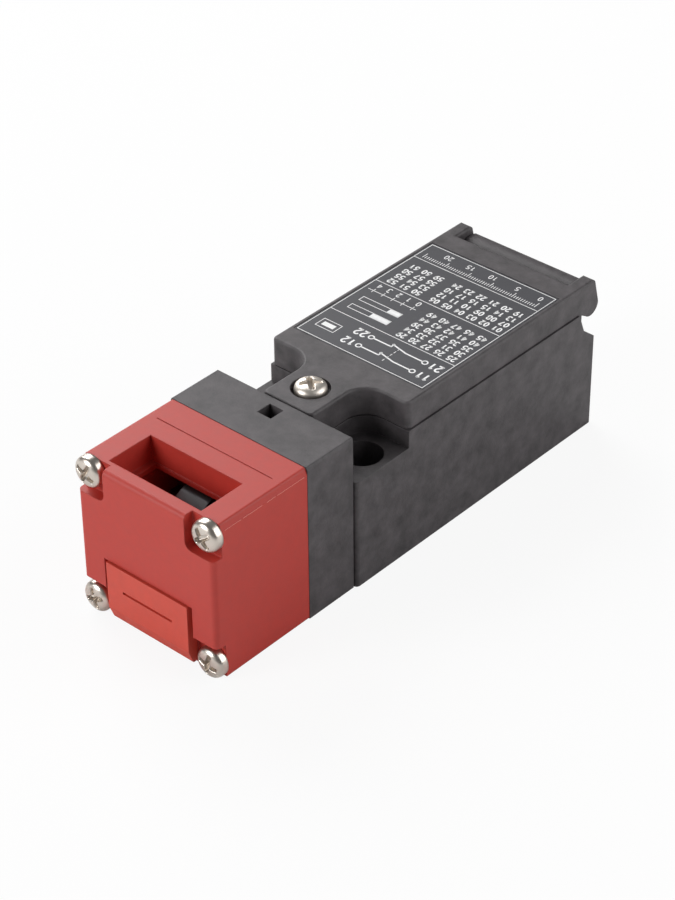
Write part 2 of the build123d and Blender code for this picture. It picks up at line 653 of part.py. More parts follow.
def housing():
    """Insulated housing: long trough with a solid front block for the mounting holes and
    the plunger, a threaded cable entry at the rear and the barrel of the cover hinge."""
    half = HOUSING_WIDTH / 2
    rear_step = COVER_REAR + REAR_STEP_LENGTH
    body = side_profile(
        [
            (HOUSING_FRONT, 0),
            (HOUSING_REAR, 0),
            (HOUSING_REAR, REAR_FACE_HEIGHT),
            (rear_step, REAR_FACE_HEIGHT + REAR_SLOPE_RISE),
            (COVER_REAR, HOUSING_RIM),
            (HOUSING_FRONT, HOUSING_RIM),
        ],
        -half, half,
    )
    upright = body.edges().filter_by(Axis.Z)
    body = fillet(upright, HOUSING_EDGE)
    pad_half = half - FRONT_PAD_INSET
    neck_half = NECK_WIDTH / 2
    body += block(-pad_half, pad_half, BASE_REAR, HOUSING_FRONT, FRONT_PAD_INSET,
                  RECESS_FLOOR - FRONT_PAD_DROP)
    web_half = neck_half - FRONT_PAD_INSET
    body += block(-web_half, web_half, BASE_REAR, HOUSING_FRONT, FRONT_PAD_INSET,
                  HOUSING_RIM - FRONT_PAD_DROP)
    barrel_half = HINGE_BARREL_WIDTH / 2
    barrel = rod_x(HINGE_Y, HINGE_Z, -barrel_half, barrel_half, HINGE_BARREL_R)
    barrel += block(-barrel_half, barrel_half, HINGE_Y - HINGE_BARREL_R, HOUSING_REAR,
                    REAR_FACE_HEIGHT - HINGE_BARREL_R, HINGE_Z)
    barrel -= block(-half, half, HOUSING_REAR, HOUSING_REAR + 3 * HINGE_BARREL_R,
                    0, COVER_TOP)
    body += barrel
    pin_end = barrel_half + HINGE_PIN_LENGTH
    body += rod_x(HINGE_Y, HINGE_Z, -pin_end, pin_end, HINGE_PIN_R)
    recess = block(neck_half, half + CUT, BASE_REAR - CUT, RECESS_REAR, RECESS_FLOOR,
                   HOUSING_RIM + CUT)
    inner = recess.edges().filter_by(Axis.Z).sort_by(Axis.X)[0:2].sort_by(Axis.Y)[-1]
    recess = fillet(inner, RECESS_CORNER_R)
    mount_x = MOUNT_SPACING / 2
    slot_run = (MOUNT_SLOT_LENGTH - 2 * MOUNT_HOLE_R) / 2
    slot = SlotCenterToCenter(2 * slot_run, 2 * MOUNT_HOLE_R)
    hole = Pos(mount_x, 0, -CUT) * extrude(slot, RECESS_FLOOR + 2 * CUT)
    bore = rod_z(mount_x, 0, COUNTERBORE_FLOOR, RECESS_FLOOR + CUT, COUNTERBORE_R)
    for cut in mirrored(recess) + mirrored(hole) + mirrored(bore):
        body -= cut
    half_cavity = half - HOUSING_WALL
    cavity = block(-half_cavity, half_cavity, CAVITY_FRONT, CAVITY_REAR, HOUSING_FLOOR,
                   HOUSING_RIM + CUT)
    body -= fillet(cavity.edges().filter_by(Axis.Z), CAVITY_ROUND)
    body -= rod_y(0, CONDUIT_Z, CAVITY_REAR - CUT, HOUSING_REAR + CUT, CONDUIT_BORE_R)
    lead = Pos(0, HOUSING_REAR - CONDUIT_LEAD / 2, CONDUIT_Z) * Rot(-90, 0, 0)
    body -= lead * Cone(CONDUIT_BORE_R, CONDUIT_BORE_R + CONDUIT_LEAD, CONDUIT_LEAD)
    body -= rod_y(0, CAM_Z, BASE_REAR - CUT, PASSAGE_STEP, PASSAGE_R)
    body -= rod_y(0, CAM_Z, BASE_REAR, CAVITY_FRONT + CUT, PASSAGE_NARROW_R)
    for x in (-BASE_SCREW_X, BASE_SCREW_X):
        body -= rod_y(x, BASE_SCREW_Z, BASE_REAR - CUT, CAVITY_FRONT + CUT,
                      BASE_SCREW_R + HEAD_SCREW_PLAY)
        body -= rod_y(x, BASE_SCREW_Z, BASE_SCREW_SEAT, CAVITY_FRONT + CUT,
                      BASE_SCREW_HEAD_R + SCREW_HEAD_PLAY)
    body -= rod_z(0, COVER_SCREW_Y, INSERT_TOP, HOUSING_RIM + CUT, RING_POCKET_R)
    body -= rod_z(0, COVER_SCREW_Y, INSERT_BOTTOM, INSERT_TOP + CUT, INSERT_R)
    tongue_end = BASE_REAR - WINDOW_FROM_BASE_REAR - WINDOW_LENGTH
    half_tongue = HOOK_TONGUE_WIDTH / 2
    body += block(-half_tongue, half_tongue, tongue_end, HOUSING_FRONT, HOOK_TONGUE_BOTTOM,
                  HOOK_TONGUE_TOP)
    hook_start = tongue_end + HOOK_PLAY
    hook_end = tongue_end + WINDOW_LENGTH - HOOK_PLAY
    hook = side_profile(
        [(hook_start, HOOK_TONGUE_TOP), (hook_end, HOOK_TONGUE_TOP), (hook_end, HOOK_TOP),
         (hook_end - HOOK_TIP_LENGTH, HOOK_TOP)],
        -HOOK_WIDTH / 2, HOOK_WIDTH / 2,
    )
    body += hook
    flange_mid = BLOCK_REAR + BLOCK_FLANGE_LENGTH / 2
    for x in (-BLOCK_SCREW_X, BLOCK_SCREW_X):
        body -= rod_z(x, flange_mid, BLOCK_SCREW_TIP, HOUSING_FLOOR + CUT, BLOCK_SCREW_R)
    return body


def cover_insert():
    """Brass threaded insert for the cover screw, in the web under the cover's neck."""
    insert = rod_z(0, COVER_SCREW_Y, INSERT_BOTTOM, INSERT_TOP, INSERT_R)
    return insert - rod_z(0, COVER_SCREW_Y, INSERT_BOTTOM - CUT, INSERT_TOP + CUT, INSERT_BORE_R)


def cover():
    """Hinged cover: plan outline with a neck and two ears, cut to a side outline whose
    rear end hooks down round the hinge pins, hollow below and ribbed."""
    half = COVER_WIDTH / 2
    neck_half = NECK_WIDTH / 2
    height = COVER_TOP - COVER_BOTTOM
    plate = Pos(0, (RECESS_REAR + COVER_REAR) / 2) * Rectangle(COVER_WIDTH, COVER_REAR - RECESS_REAR)
    neck = Pos(0, (NECK_FRONT + COVER_REAR) / 2) * Rectangle(NECK_WIDTH, COVER_REAR - NECK_FRONT)
    plan = plate + neck
    ear_end = HINGE_Y + EAR_R + CUT
    ear_width = half - EAR_INNER
    for side in (-1, 1):
        ear = Rectangle(ear_width, ear_end - COVER_REAR + CUT)
        plan += Pos(side * (half - ear_width / 2), (ear_end + COVER_REAR - CUT) / 2) * ear
    plan = fillet(corners_at(plan, neck_half, RECESS_REAR), RECESS_CORNER_R)
    outer = corners_at(plan, neck_half, NECK_FRONT) + corners_at(plan, half, RECESS_REAR)
    plan = fillet(outer, EDGE_ROUND)
    blank = Pos(0, 0, HINGE_Z - 2 * EAR_R) * extrude(plan, COVER_TOP - HINGE_Z + 2 * EAR_R)
    ear_back = HINGE_Y + EAR_TOP_SETBACK

    def round_hinge(degrees):
        angle = math.radians(degrees)
        return (HINGE_Y + EAR_R * math.cos(angle), HINGE_Z + EAR_R * math.sin(angle))

    ear_foot = round_hinge(EAR_FOOT_ANGLE)
    side = Polyline((NECK_FRONT - CUT, COVER_BOTTOM), (COVER_REAR, COVER_BOTTOM), ear_foot)
    side += ThreePointArc(ear_foot, round_hinge(EAR_ARC_ANGLE), (HINGE_Y + EAR_R, HINGE_Z))
    side += Polyline((HINGE_Y + EAR_R, HINGE_Z), (ear_back, COVER_TOP + CUT),
                     (NECK_FRONT - CUT, COVER_TOP + CUT), (NECK_FRONT - CUT, COVER_BOTTOM))
    outline = Pos(-half - CUT, 0, 0) * extrude(Plane.YZ * make_face(side), COVER_WIDTH + 2 * CUT)
    body = blank & outline
    rim = body.faces().filter_by(Axis.Z).sort_by(Axis.Z)[-1].edges()
    body = fillet(rim, COVER_EDGE)
    body -= side_profile([(COVER_REAR, COVER_TOP), (COVER_REAR - COVER_UNDERCUT, COVER_BOTTOM - CUT),
                          (COVER_REAR + CUT, COVER_BOTTOM - CUT), (COVER_REAR + CUT, COVER_TOP)],
                         -EAR_INNER, EAR_INNER)
    roof = COVER_TOP - COVER_ROOF
    front = RECESS_REAR + COVER_WALL
    rear = COVER_REAR - COVER_WALL
    half_low = half - COVER_WALL
    gasket_top = COVER_BOTTOM - GASKET_PROUD + GASKET_HEIGHT
    step = GASKET_WIDTH
    low = block(-half_low, half_low, front, rear, COVER_BOTTOM - CUT, gasket_top)
    high = block(-half_low + step, half_low - step, front + step, rear - step,
                 COVER_BOTTOM, roof)
    body -= fillet(low.edges().filter_by(Axis.Z), COVER_INNER_ROUND)
    body -= fillet(high.edges().filter_by(Axis.Z), COVER_INNER_ROUND)
    thick = COVER_RIB_THICKNESS / 2
    for i in range(COVER_RIBS):
        y = front + (rear - front) * (i + 1) / (COVER_RIBS + 1)
        body += block(-half_low + step, half_low - step, y - thick, y + thick,
                      roof - COVER_RIB_DEPTH, roof)
    body -= rod_z(0, COVER_SCREW_Y, COVER_BOTTOM - CUT, COVER_TOP + CUT, COVER_SCREW_HOLE_R)
    body -= rod_z(0, COVER_SCREW_Y, COVER_SCREW_SEAT, COVER_TOP + CUT, COVER_SCREW_RECESS_R)
    ring_roof = RING_BOTTOM + RING_THICKNESS + COVER_SCREW_TRAVEL + RING_TRAVEL_CLEARANCE
    body -= rod_z(0, COVER_SCREW_Y, COVER_BOTTOM - CUT, ring_roof, RING_POCKET_R)
    label_half = LABEL_POCKET_WIDTH / 2
    body -= block(-label_half, label_half, LABEL_START, LABEL_END,
                  COVER_TOP - LABEL_POCKET_DEPTH, COVER_TOP + CUT)
    pin_end = HINGE_BARREL_WIDTH / 2 + HINGE_PIN_LENGTH + HINGE_PIN_PLAY
    body -= rod_x(HINGE_Y, HINGE_Z, -pin_end, pin_end, HINGE_PIN_R + HINGE_PIN_PLAY)
    return body


def cover_gasket():
    """Rubber frame pressed into the step inside the cover."""
    half = COVER_WIDTH / 2 - COVER_WALL - GASKET_FIT
    front = RECESS_REAR + COVER_WALL + GASKET_FIT
    rear = COVER_REAR - COVER_WALL - GASKET_FIT
    bottom = COVER_BOTTOM - GASKET_PROUD
    outer = block(-half, half, front, rear, bottom, bottom + GASKET_HEIGHT)
    inner_half = half - GASKET_WIDTH
    inner = block(-inner_half, inner_half, front + GASKET_WIDTH, rear - GASKET_WIDTH,
                  bottom - CUT, bottom + GASKET_HEIGHT + CUT)
    outer = fillet(outer.edges().filter_by(Axis.Z), COVER_INNER_ROUND)
    return outer - fillet(inner.edges().filter_by(Axis.Z), COVER_INNER_ROUND - GASKET_FIT)


def label_plate():
    """Thin plate in the pocket of the cover."""
    half = LABEL_POCKET_WIDTH / 2 - LABEL_GAP
    bottom = COVER_TOP - LABEL_POCKET_DEPTH
    return block(-half, half, LABEL_START + LABEL_GAP, LABEL_END - LABEL_GAP, bottom,
                 bottom + LABEL_THICKNESS)


def cover_screw():
    """Captive pan-head screw of the cover."""
    head = pan_head(COVER_SCREW_HEAD_R, COVER_SCREW_HEAD_HEIGHT)
    screw = Pos(0, COVER_SCREW_Y, COVER_SCREW_SEAT) * Rot(0, 0, 45) * head
    return screw + rod_z(0, COVER_SCREW_Y, COVER_SCREW_TIP, COVER_SCREW_SEAT, COVER_SCREW_R)


def cover_screw_ring():
    """Ring that keeps the cover screw in the cover when it is undone."""
    top = RING_BOTTOM + RING_THICKNESS
    ring = rod_z(0, COVER_SCREW_Y, RING_BOTTOM, top, RING_R)
    return ring - rod_z(0, COVER_SCREW_Y, RING_BOTTOM - CUT, top + CUT, COVER_SCREW_R + RUNNING_PLAY)


def block_case():
    """Case of the contact block, with two contact chambers, the carrier's channel and a
    screwed flange towards the cable entry."""
    half = BLOCK_WIDTH / 2
    body = block(-half, half, BLOCK_FRONT, BLOCK_REAR, HOUSING_FLOOR, BLOCK_CASE_TOP)
    body += block(-half, half, BLOCK_REAR, BLOCK_REAR + BLOCK_FLANGE_LENGTH, HOUSING_FLOOR,
                  HOUSING_FLOOR + BLOCK_FLANGE_HEIGHT)
    channel_half = CARRIER_WIDTH / 2 + CARRIER_PLAY
    channel_bottom = CAM_Z - CARRIER_HEIGHT / 2 - CARRIER_PLAY
    body -= block(-channel_half, channel_half, BLOCK_FRONT + BLOCK_FRONT_WALL,
                  BLOCK_REAR - BLOCK_REAR_WALL, channel_bottom, BLOCK_CASE_TOP + CUT)
    chamber_half = CHAMBER_WIDTH / 2
    for start in CHAMBER_STARTS:
        body -= block(-chamber_half, chamber_half, start, start + CHAMBER_LENGTH,
                      CHAMBER_BOTTOM, BLOCK_CASE_TOP + CUT)
    body -= rod_y(0, CAM_Z, BLOCK_FRONT - CUT, CARRIER_START, CARRIER_NOSE_R + CARRIER_NOSE_PLAY)
    flange_mid = BLOCK_REAR + BLOCK_FLANGE_LENGTH / 2
    for x in (-BLOCK_SCREW_X, BLOCK_SCREW_X):
        body -= rod_z(x, flange_mid, HOUSING_FLOOR - CUT,
                      HOUSING_FLOOR + BLOCK_FLANGE_HEIGHT + CUT, BLOCK_SCREW_R + HEAD_SCREW_PLAY)
    return body


def block_lid():
    """Lid of the contact block, with barriers between the terminals."""
    half = BLOCK_WIDTH / 2
    body = block(-half, half, BLOCK_FRONT, BLOCK_REAR, BLOCK_CASE_TOP, BLOCK_TOP)
    thick = BARRIER_THICKNESS / 2
    top = BLOCK_TOP + BARRIER_HEIGHT
    body += block(-thick, thick, BLOCK_FRONT, BLOCK_REAR, BLOCK_TOP, top)
    for start in CHAMBER_STARTS:
        rear = start + CHAMBER_LENGTH + BARRIER_THICKNESS / 2
        body += block(-half, half, rear - thick, rear + thick, BLOCK_TOP, top)
        blade = start + BLADE_FROM_CHAMBER
        for x in (-BUTTON_X, BUTTON_X):
            slit = BLADE_WIDTH / 2 + BLADE_PLAY
            body -= block(x - slit, x + slit, blade - BLADE_PLAY,
                          blade + BLADE_THICKNESS + BLADE_PLAY, BLOCK_CASE_TOP - CUT,
                          BLOCK_TOP + CUT)
            screw_y = blade + TAB_LENGTH / 2
            body -= rod_z(math.copysign(TAB_X, x), screw_y, BLOCK_CASE_TOP - CUT,
                          BLOCK_TOP + CUT, TERMINAL_SCREW_R + TERMINAL_SCREW_PLAY)
    return body


def contact_carrier():
    """Sliding carrier pushed by the plunger, with a window for each contact bridge."""
    half = CARRIER_WIDTH / 2
    low = CAM_Z - CARRIER_HEIGHT / 2
    body = block(-half, half, CARRIER_START, CARRIER_END, low, low + CARRIER_HEIGHT)
    body += rod_y(0, CAM_Z, CARRIER_NOSE_START, CARRIER_START, CARRIER_NOSE_R)
    for start in CHAMBER_STARTS:
        bridge = start + BRIDGE_FROM_CHAMBER
        body -= block(-half - CUT, half + CUT, bridge - WINDOW_AHEAD, bridge + WINDOW_BEHIND,
                      CAM_Z - CARRIER_WINDOW_HEIGHT / 2, CAM_Z + CARRIER_WINDOW_HEIGHT / 2)
    body -= rod_y(0, CAM_Z, CARRIER_END - CARRIER_SPRING_BORE_DEPTH, CARRIER_END + CUT,
                  CARRIER_SPRING_BORE_R)
    return body


def carrier_spring():
    """Spring that returns the carrier, between its rear bore and the end of the block."""
    start = CARRIER_END - CARRIER_SPRING_BORE_DEPTH + CARRIER_SPRING_WIRE_R
    length = BLOCK_REAR - BLOCK_REAR_WALL - CARRIER_SPRING_WIRE_R - start
    coil = spring_coil(CARRIER_SPRING_R, CARRIER_SPRING_WIRE_R, length, CARRIER_SPRING_TURNS)
    return Pos(0, start, CAM_Z) * Rot(-90, 0, 0) * coil


def contact_bridges():
    """Two bridges, each with a contact button at both ends, facing the fixed contacts."""
    bridges = []
    for start in CHAMBER_STARTS:
        rear = start + BRIDGE_FROM_CHAMBER + BRIDGE_THICKNESS - WINDOW_AHEAD
        front = rear - BRIDGE_THICKNESS
        half = BRIDGE_LENGTH / 2
        bridge = block(-half, half, front, rear, CAM_Z - BRIDGE_HEIGHT / 2,
                       CAM_Z + BRIDGE_HEIGHT / 2)
        for x in (-BUTTON_X, BUTTON_X):
            bridge += rod_y(x, CAM_Z, front - BUTTON_HEIGHT, front, BUTTON_R)
        bridges.append(bridge)
    return bridges


def contact_springs():
    """Springs that press the bridges forward in the carrier's windows."""
    springs = []
    for start in CHAMBER_STARTS:
        front = start + BRIDGE_FROM_CHAMBER + BRIDGE_THICKNESS - WINDOW_AHEAD
        back = start + BRIDGE_FROM_CHAMBER + WINDOW_BEHIND
        length = back - front - 2 * CONTACT_SPRING_WIRE_R
        coil = spring_coil(CONTACT_SPRING_R, CONTACT_SPRING_WIRE_R, length, CONTACT_SPRING_TURNS)
        springs.append(Pos(0, front + CONTACT_SPRING_WIRE_R, CAM_Z) * Rot(-90, 0, 0) * coil)
    return springs


def fixed_contacts():
    """Four brass contacts: a blade with a button in its chamber, and a terminal tab."""
    contacts = []
    for start in CHAMBER_STARTS:
        blade = start + BLADE_FROM_CHAMBER
        bridge_face = start + BRIDGE_FROM_CHAMBER - WINDOW_AHEAD - BUTTON_HEIGHT
        button_face = bridge_face - PLUNGER_TRAVEL - CONTACT_CLOSED_GAP
        for side in (-1, 1):
            x = side * BUTTON_X
            low = CAM_Z - BUTTON_R - BLADE_BELOW_BUTTON
            body = block(x - BLADE_WIDTH / 2, x + BLADE_WIDTH / 2, blade,
                         blade + BLADE_THICKNESS, low, BLOCK_TOP + TAB_THICKNESS)
            body += rod_y(x, CAM_Z, blade + BLADE_THICKNESS, button_face, BUTTON_R)
            tab_x = side * TAB_X
            tab = block(tab_x - TAB_WIDTH / 2, tab_x + TAB_WIDTH / 2, blade,
                        blade + TAB_LENGTH, BLOCK_TOP, BLOCK_TOP + TAB_THICKNESS)
            hole = rod_z(tab_x, blade + TAB_LENGTH / 2, BLOCK_TOP - CUT,
                         BLOCK_TOP + TAB_THICKNESS + CUT, TERMINAL_SCREW_R + TERMINAL_SCREW_PLAY)
            contacts.append(body + tab - hole)
    return contacts


def terminal_places():
    """Centres of the four terminal screws."""
    places = []
    for start in CHAMBER_STARTS:
        for x in (-TAB_X, TAB_X):
            places.append((x, start + BLADE_FROM_CHAMBER + TAB_LENGTH / 2))
    return places


def terminal_clamps():
    """Square clamp plates under the terminal screws."""
    low = BLOCK_TOP + TAB_THICKNESS
    half = CLAMP_SIZE / 2
    clamps = []
    for x, y in terminal_places():
        plate = block(x - half, x + half, y - half, y + half, low, low + CLAMP_THICKNESS)
        hole = rod_z(x, y, low - CUT, low + CLAMP_THICKNESS + CUT,
                     TERMINAL_SCREW_R + TERMINAL_SCREW_PLAY)
        clamps.append(plate - hole)
    return clamps


def terminal_screws():
    """Slotted screws of the four terminals."""
    seat = BLOCK_TOP + TAB_THICKNESS + CLAMP_THICKNESS
    tip = BLOCK_TOP - TERMINAL_SCREW_DEPTH
    screws = []
    for x, y in terminal_places():
        head = Pos(x, y, seat) * slotted_head(TERMINAL_HEAD_R, TERMINAL_HEAD_HEIGHT)
        screws.append(head + rod_z(x, y, tip, seat, TERMINAL_SCREW_R))
    return screws


def block_screws():
    """Two screws that hold the contact block to the housing floor."""
    seat = HOUSING_FLOOR + BLOCK_FLANGE_HEIGHT
    y = BLOCK_REAR + BLOCK_FLANGE_LENGTH / 2
    screws = []
    for x in (-BLOCK_SCREW_X, BLOCK_SCREW_X):
        head = Pos(x, y, seat) * slotted_head(BLOCK_SCREW_HEAD_R, BLOCK_SCREW_HEAD_HEIGHT)
        screws.append(head + rod_z(x, y, BLOCK_SCREW_TIP, seat, BLOCK_SCREW_R))
    return screws


PIECES = {
    "head_shell": head_shell,
    "slot_cap": slot_cap,
    "head_screws": head_screws,
    "cam_rotor": cam_rotor,
    "cam_axle": cam_axle,
    "plunger": plunger,
    "guide_bush": guide_bush,
    "plunger_seal": plunger_seal,
    "plunger_spring": plunger_spring,
    "head_base": head_base,
    "base_screws": base_screws,
    "housing": housing,
    "cover_insert": cover_insert,
    "cover": cover,
    "cover_gasket": cover_gasket,
    "label_plate": label_plate,
    "cover_screw": cover_screw,
    "cover_screw_ring": cover_screw_ring,
    "block_case": block_case,
    "block_lid": block_lid,
    "contact_carrier": contact_carrier,
    "carrier_spring": carrier_spring,
    "contact_bridges": contact_bridges,
    "contact_springs": contact_springs,
    "fixed_contacts": fixed_contacts,
    "terminal_clamps": terminal_clamps,
    "terminal_screws": terminal_screws,
    "block_screws": block_screws,
}


def main():
    os.makedirs("parts", exist_ok=True)
    for name, make in PIECES.items():
        solid = make()
        if isinstance(solid, list):
            solid = Compound(children=solid)
        export_step(solid, f"parts/{name}.step")


main()
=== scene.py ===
"""Looks of a tongue interlock switch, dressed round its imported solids.

Run as a script. Lengths are metres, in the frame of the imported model: +Y towards the
cable entry, +Z out of the mounting face.
"""

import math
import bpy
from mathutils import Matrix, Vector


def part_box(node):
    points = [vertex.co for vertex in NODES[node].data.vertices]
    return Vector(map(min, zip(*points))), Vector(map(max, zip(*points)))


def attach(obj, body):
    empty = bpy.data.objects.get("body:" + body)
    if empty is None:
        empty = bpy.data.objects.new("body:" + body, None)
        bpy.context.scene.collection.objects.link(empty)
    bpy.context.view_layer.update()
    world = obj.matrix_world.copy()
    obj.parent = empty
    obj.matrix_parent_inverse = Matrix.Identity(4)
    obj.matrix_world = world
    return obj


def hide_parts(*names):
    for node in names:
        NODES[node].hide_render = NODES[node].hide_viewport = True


bl_info = {
    "name": "Tongue interlock switch",
    "version": (1, 0, 0),
    "blender": (4, 5, 0),
    "location": "View3D > Sidebar > Switch",
    "description": "Finishes, threads, springs and printing of a tongue interlock switch",
    "category": "Add Mesh",
}

import bpy
import numpy as np
from mathutils import Matrix

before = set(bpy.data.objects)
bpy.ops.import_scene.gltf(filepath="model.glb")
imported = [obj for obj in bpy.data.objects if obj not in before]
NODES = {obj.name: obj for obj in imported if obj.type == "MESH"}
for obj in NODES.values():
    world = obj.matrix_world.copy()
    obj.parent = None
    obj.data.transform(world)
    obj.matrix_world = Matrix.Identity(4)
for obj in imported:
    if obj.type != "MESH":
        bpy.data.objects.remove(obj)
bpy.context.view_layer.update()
MM = 0.001

# Camera of the reference view
CAMERA_AZIMUTH = 41.849
CAMERA_ELEVATION = 35.621
CAMERA_ROLL = -0.536
CAMERA_DISTANCE = 453.84 * MM
CAMERA_TARGET = (0.76 * MM, 4.825 * MM, 15.0 * MM)
FOCAL_PIXELS = 2688.4
IMAGE_HEIGHT = 900
SENSOR = 36.0

# Axes and seats of the pieces that are made here, read off the solids, in millimetres
HEAD_SCREWS = [(x, z) for x in (-12.85, 12.85) for z in (3.0, 28.2)]
HEAD_SCREW_SEAT = -38.0
COVER_SCREW_SEAT = (0.0, -0.8, 29.0)
BASE_SCREW_X = 4.5
BASE_SCREW_SEAT = 5.0
BASE_SCREW_Z = 6.0
BLOCK_SCREW_X = 9.0
TERMINAL_X = 8.3
PLUNGER_Z = 15.5
ENTRY_Z = 12.4

# Head radius, head height, shank radius and length of the screws, in millimetres; the
# last two kinds take their length from the solids
HEAD_SCREW = (2.8, 2.3, 1.4, 28.0)
COVER_SCREW = (2.8, 2.5, 1.2, 8.9)
BASE_SCREW = (2.7, 2.0, 1.4, 17.4)
TERMINAL_SCREW = (2.7, 1.7, 1.5)
BLOCK_SCREW = (2.6, 1.8, 1.4)

# Printed area of the label: half its width, its two ends and the rules across it
LABEL_HALF = 13.83
LABEL_ENDS = (-47.0, -11.2)
LABEL_RULES = (-41.9, -31.6, -19.7)

# Points that the softboxes stand at and face, and their sizes, in metres
LIT_POINT = (0, 0.01, 0.015)
FRONT_LEFT = ((-0.4, -0.9, 0.45), 0.5)
BACK_RIGHT = ((0.52, 0.36, 0.34), 0.6)
BACK_LEFT = ((-0.82, 0.33, 0.66), 0.7)


def linear(colour):
    """Scene-linear RGBA of an 8-bit sRGB colour: (c + 0.055) / 1.055 to the power 2.4."""
    c = np.asarray(colour, float) / 255
    low = c / 12.92
    high = ((c + 0.055) / 1.055) ** 2.4
    return (*np.where(c <= 0.04045, low, high).tolist(), 1.0)


# Sizes and colours


class SwitchFinish(bpy.types.PropertyGroup):
    """Colours and surface values of the mouldings and metals."""

    head_red: bpy.props.FloatVectorProperty(
        name="Head red", description="Colour of the operating head", subtype="COLOR",
        size=4, min=0, max=1, default=linear((186, 56, 46)))
    cap_red: bpy.props.FloatVectorProperty(
        name="Cap red", description="Colour of the slot cap", subtype="COLOR",
        size=4, min=0, max=1, default=linear((205, 74, 58)))
    body_black: bpy.props.FloatVectorProperty(
        name="Body black", description="Colour of the housing, cover and head base",
        subtype="COLOR", size=4, min=0, max=1, default=linear((75, 71, 73)))
    label_black: bpy.props.FloatVectorProperty(
        name="Label black", description="Colour of the label plate", subtype="COLOR",
        size=4, min=0, max=1, default=linear((63, 63, 68)))
    print_white: bpy.props.FloatVectorProperty(
        name="Print white", description="Colour of the printed lines", subtype="COLOR",
        size=4, min=0, max=1, default=linear((248, 248, 248)))
    print_line: bpy.props.FloatProperty(
        name="Print line", description="Width of the thin printed lines", unit="LENGTH",
        default=0.13 * MM, min=0.05 * MM, max=1 * MM)
    # Painted highlight: pale red lines along the foot of the head's top bevel, standing in for
    # the light caught by that edge
    flash_red: bpy.props.FloatVectorProperty(
        name="Painted highlight red", description="Colour of the thin painted highlight lines of the head",
        subtype="COLOR", size=4, min=0, max=1, default=linear((232, 150, 138)))
    flash_width: bpy.props.FloatProperty(
        name="Highlight width", description="Width of the painted highlight lines", unit="LENGTH",
        default=0.07 * MM, min=0.02 * MM, max=0.3 * MM)
    flash_drop: bpy.props.FloatProperty(
        name="Highlight drop", description="Depth of the painted highlight lines below the top of the head",
        unit="LENGTH", default=1.35 * MM, min=0, max=10 * MM)
    grain_size: bpy.props.FloatProperty(
        name="Grain size", description="Pitch of the moulded grain", unit="LENGTH",
        default=0.28 * MM, min=0.05 * MM, max=2 * MM)
    moulding_roughness: bpy.props.FloatProperty(
        name="Moulding roughness", description="Roughness of the mouldings",
        subtype="FACTOR", default=0.5, min=0, max=1)


class SwitchScrews(bpy.types.PropertyGroup):
    """Sizes shared by the cross-recess screws."""

    recess_reach: bpy.props.FloatProperty(
        name="Recess reach", description="Reach of the cross, as a share of the head's radius",
        subtype="FACTOR", default=0.68, min=0.3, max=0.8)
    recess_arm: bpy.props.FloatProperty(
        name="Recess arm", description="Half width of an arm, as a share of the radius",
        subtype="FACTOR", default=0.19, min=0.05, max=0.3)
    thread_pitch: bpy.props.FloatProperty(
        name="Thread pitch", description="Pitch of the screw threads", unit="LENGTH",
        default=0.5 * MM, min=0.3 * MM, max=1 * MM)
    thread_length: bpy.props.FloatProperty(
        name="Thread length", description="Longest thread of a screw, from its tip up",
        unit="LENGTH", default=10 * MM, min=3 * MM, max=20 * MM)


class SwitchEntry(bpy.types.PropertyGroup):
    """Thread of the cable entry."""

    bore: bpy.props.FloatProperty(
        name="Bore radius", description="Radius of the cable entry's bore", unit="LENGTH",
        default=9.188 * MM, min=5 * MM, max=10 * MM)
    pitch: bpy.props.FloatProperty(
        name="Pitch", description="Pitch of the cable entry's thread", unit="LENGTH",
        default=1.5 * MM, min=1 * MM, max=2 * MM)
    depth: bpy.props.FloatProperty(
        name="Depth", description="Longest thread that the entry's wall has room for",
        unit="LENGTH", default=9.4 * MM, min=3 * MM, max=10 * MM)
    lead: bpy.props.FloatProperty(
        name="Lead", description="Plain length ahead of the thread", unit="LENGTH",
        default=1.3 * MM, min=0, max=3 * MM)
    ridge: bpy.props.FloatProperty(
        name="Ridge", description="Half the height of the thread's ridge", unit="LENGTH",
        default=0.6 * MM, min=0.2 * MM, max=1 * MM)
    sunk: bpy.props.FloatProperty(
        name="Sunk", description="Depth of the ridge's middle in the wall", unit="LENGTH",
        default=0.2 * MM, min=0, max=0.5 * MM)


class SwitchStage(bpy.types.PropertyGroup):
    """Light and backdrop."""

    front_power: bpy.props.FloatProperty(
        name="Front power", description="Power of the softbox in front on the left",
        unit="POWER", default=6.7, min=0)
    side_power: bpy.props.FloatProperty(
        name="Side power", description="Power of the softbox behind on the right",
        unit="POWER", default=2.9, min=0)
    sheen_power: bpy.props.FloatProperty(
        name="Sheen power", description="Power of the softbox on the left, a little behind",
        unit="POWER", default=9.2, min=0)
    ambient: bpy.props.FloatProperty(
        name="Ambient", description="Level of the surrounding light", default=0.13, min=0, max=1)


# Surfaces


def mesh_object(name, parts, smooth=True):
    """One mesh object from several (points, faces) pairs, joined in order."""
    points = []
    quads = []
    offset = 0
    for p, f in parts:
        points.append(p.reshape(-1, 3))
        quads.append(f + offset)
        offset += len(points[-1])
    points = np.concatenate(points)
    quads = np.concatenate(quads)
    mesh = bpy.data.meshes.new(name)
    mesh.vertices.add(len(points))
    mesh.vertices.foreach_set("co", points.astype(np.float32).ravel())
    mesh.loops.add(quads.size)
    mesh.loops.foreach_set("vertex_index", quads.astype(np.int32).ravel())
    mesh.polygons.add(len(quads))
    sides = quads.shape[1]
    mesh.polygons.foreach_set("loop_start", np.arange(len(quads), dtype=np.int32) * sides)
    mesh.polygons.foreach_set("use_smooth", np.full(len(quads), smooth))
    mesh.update(calc_edges=True)
    mesh.validate()
    obj = bpy.data.objects.new(name, mesh)
    bpy.context.scene.collection.objects.link(obj)
    return obj


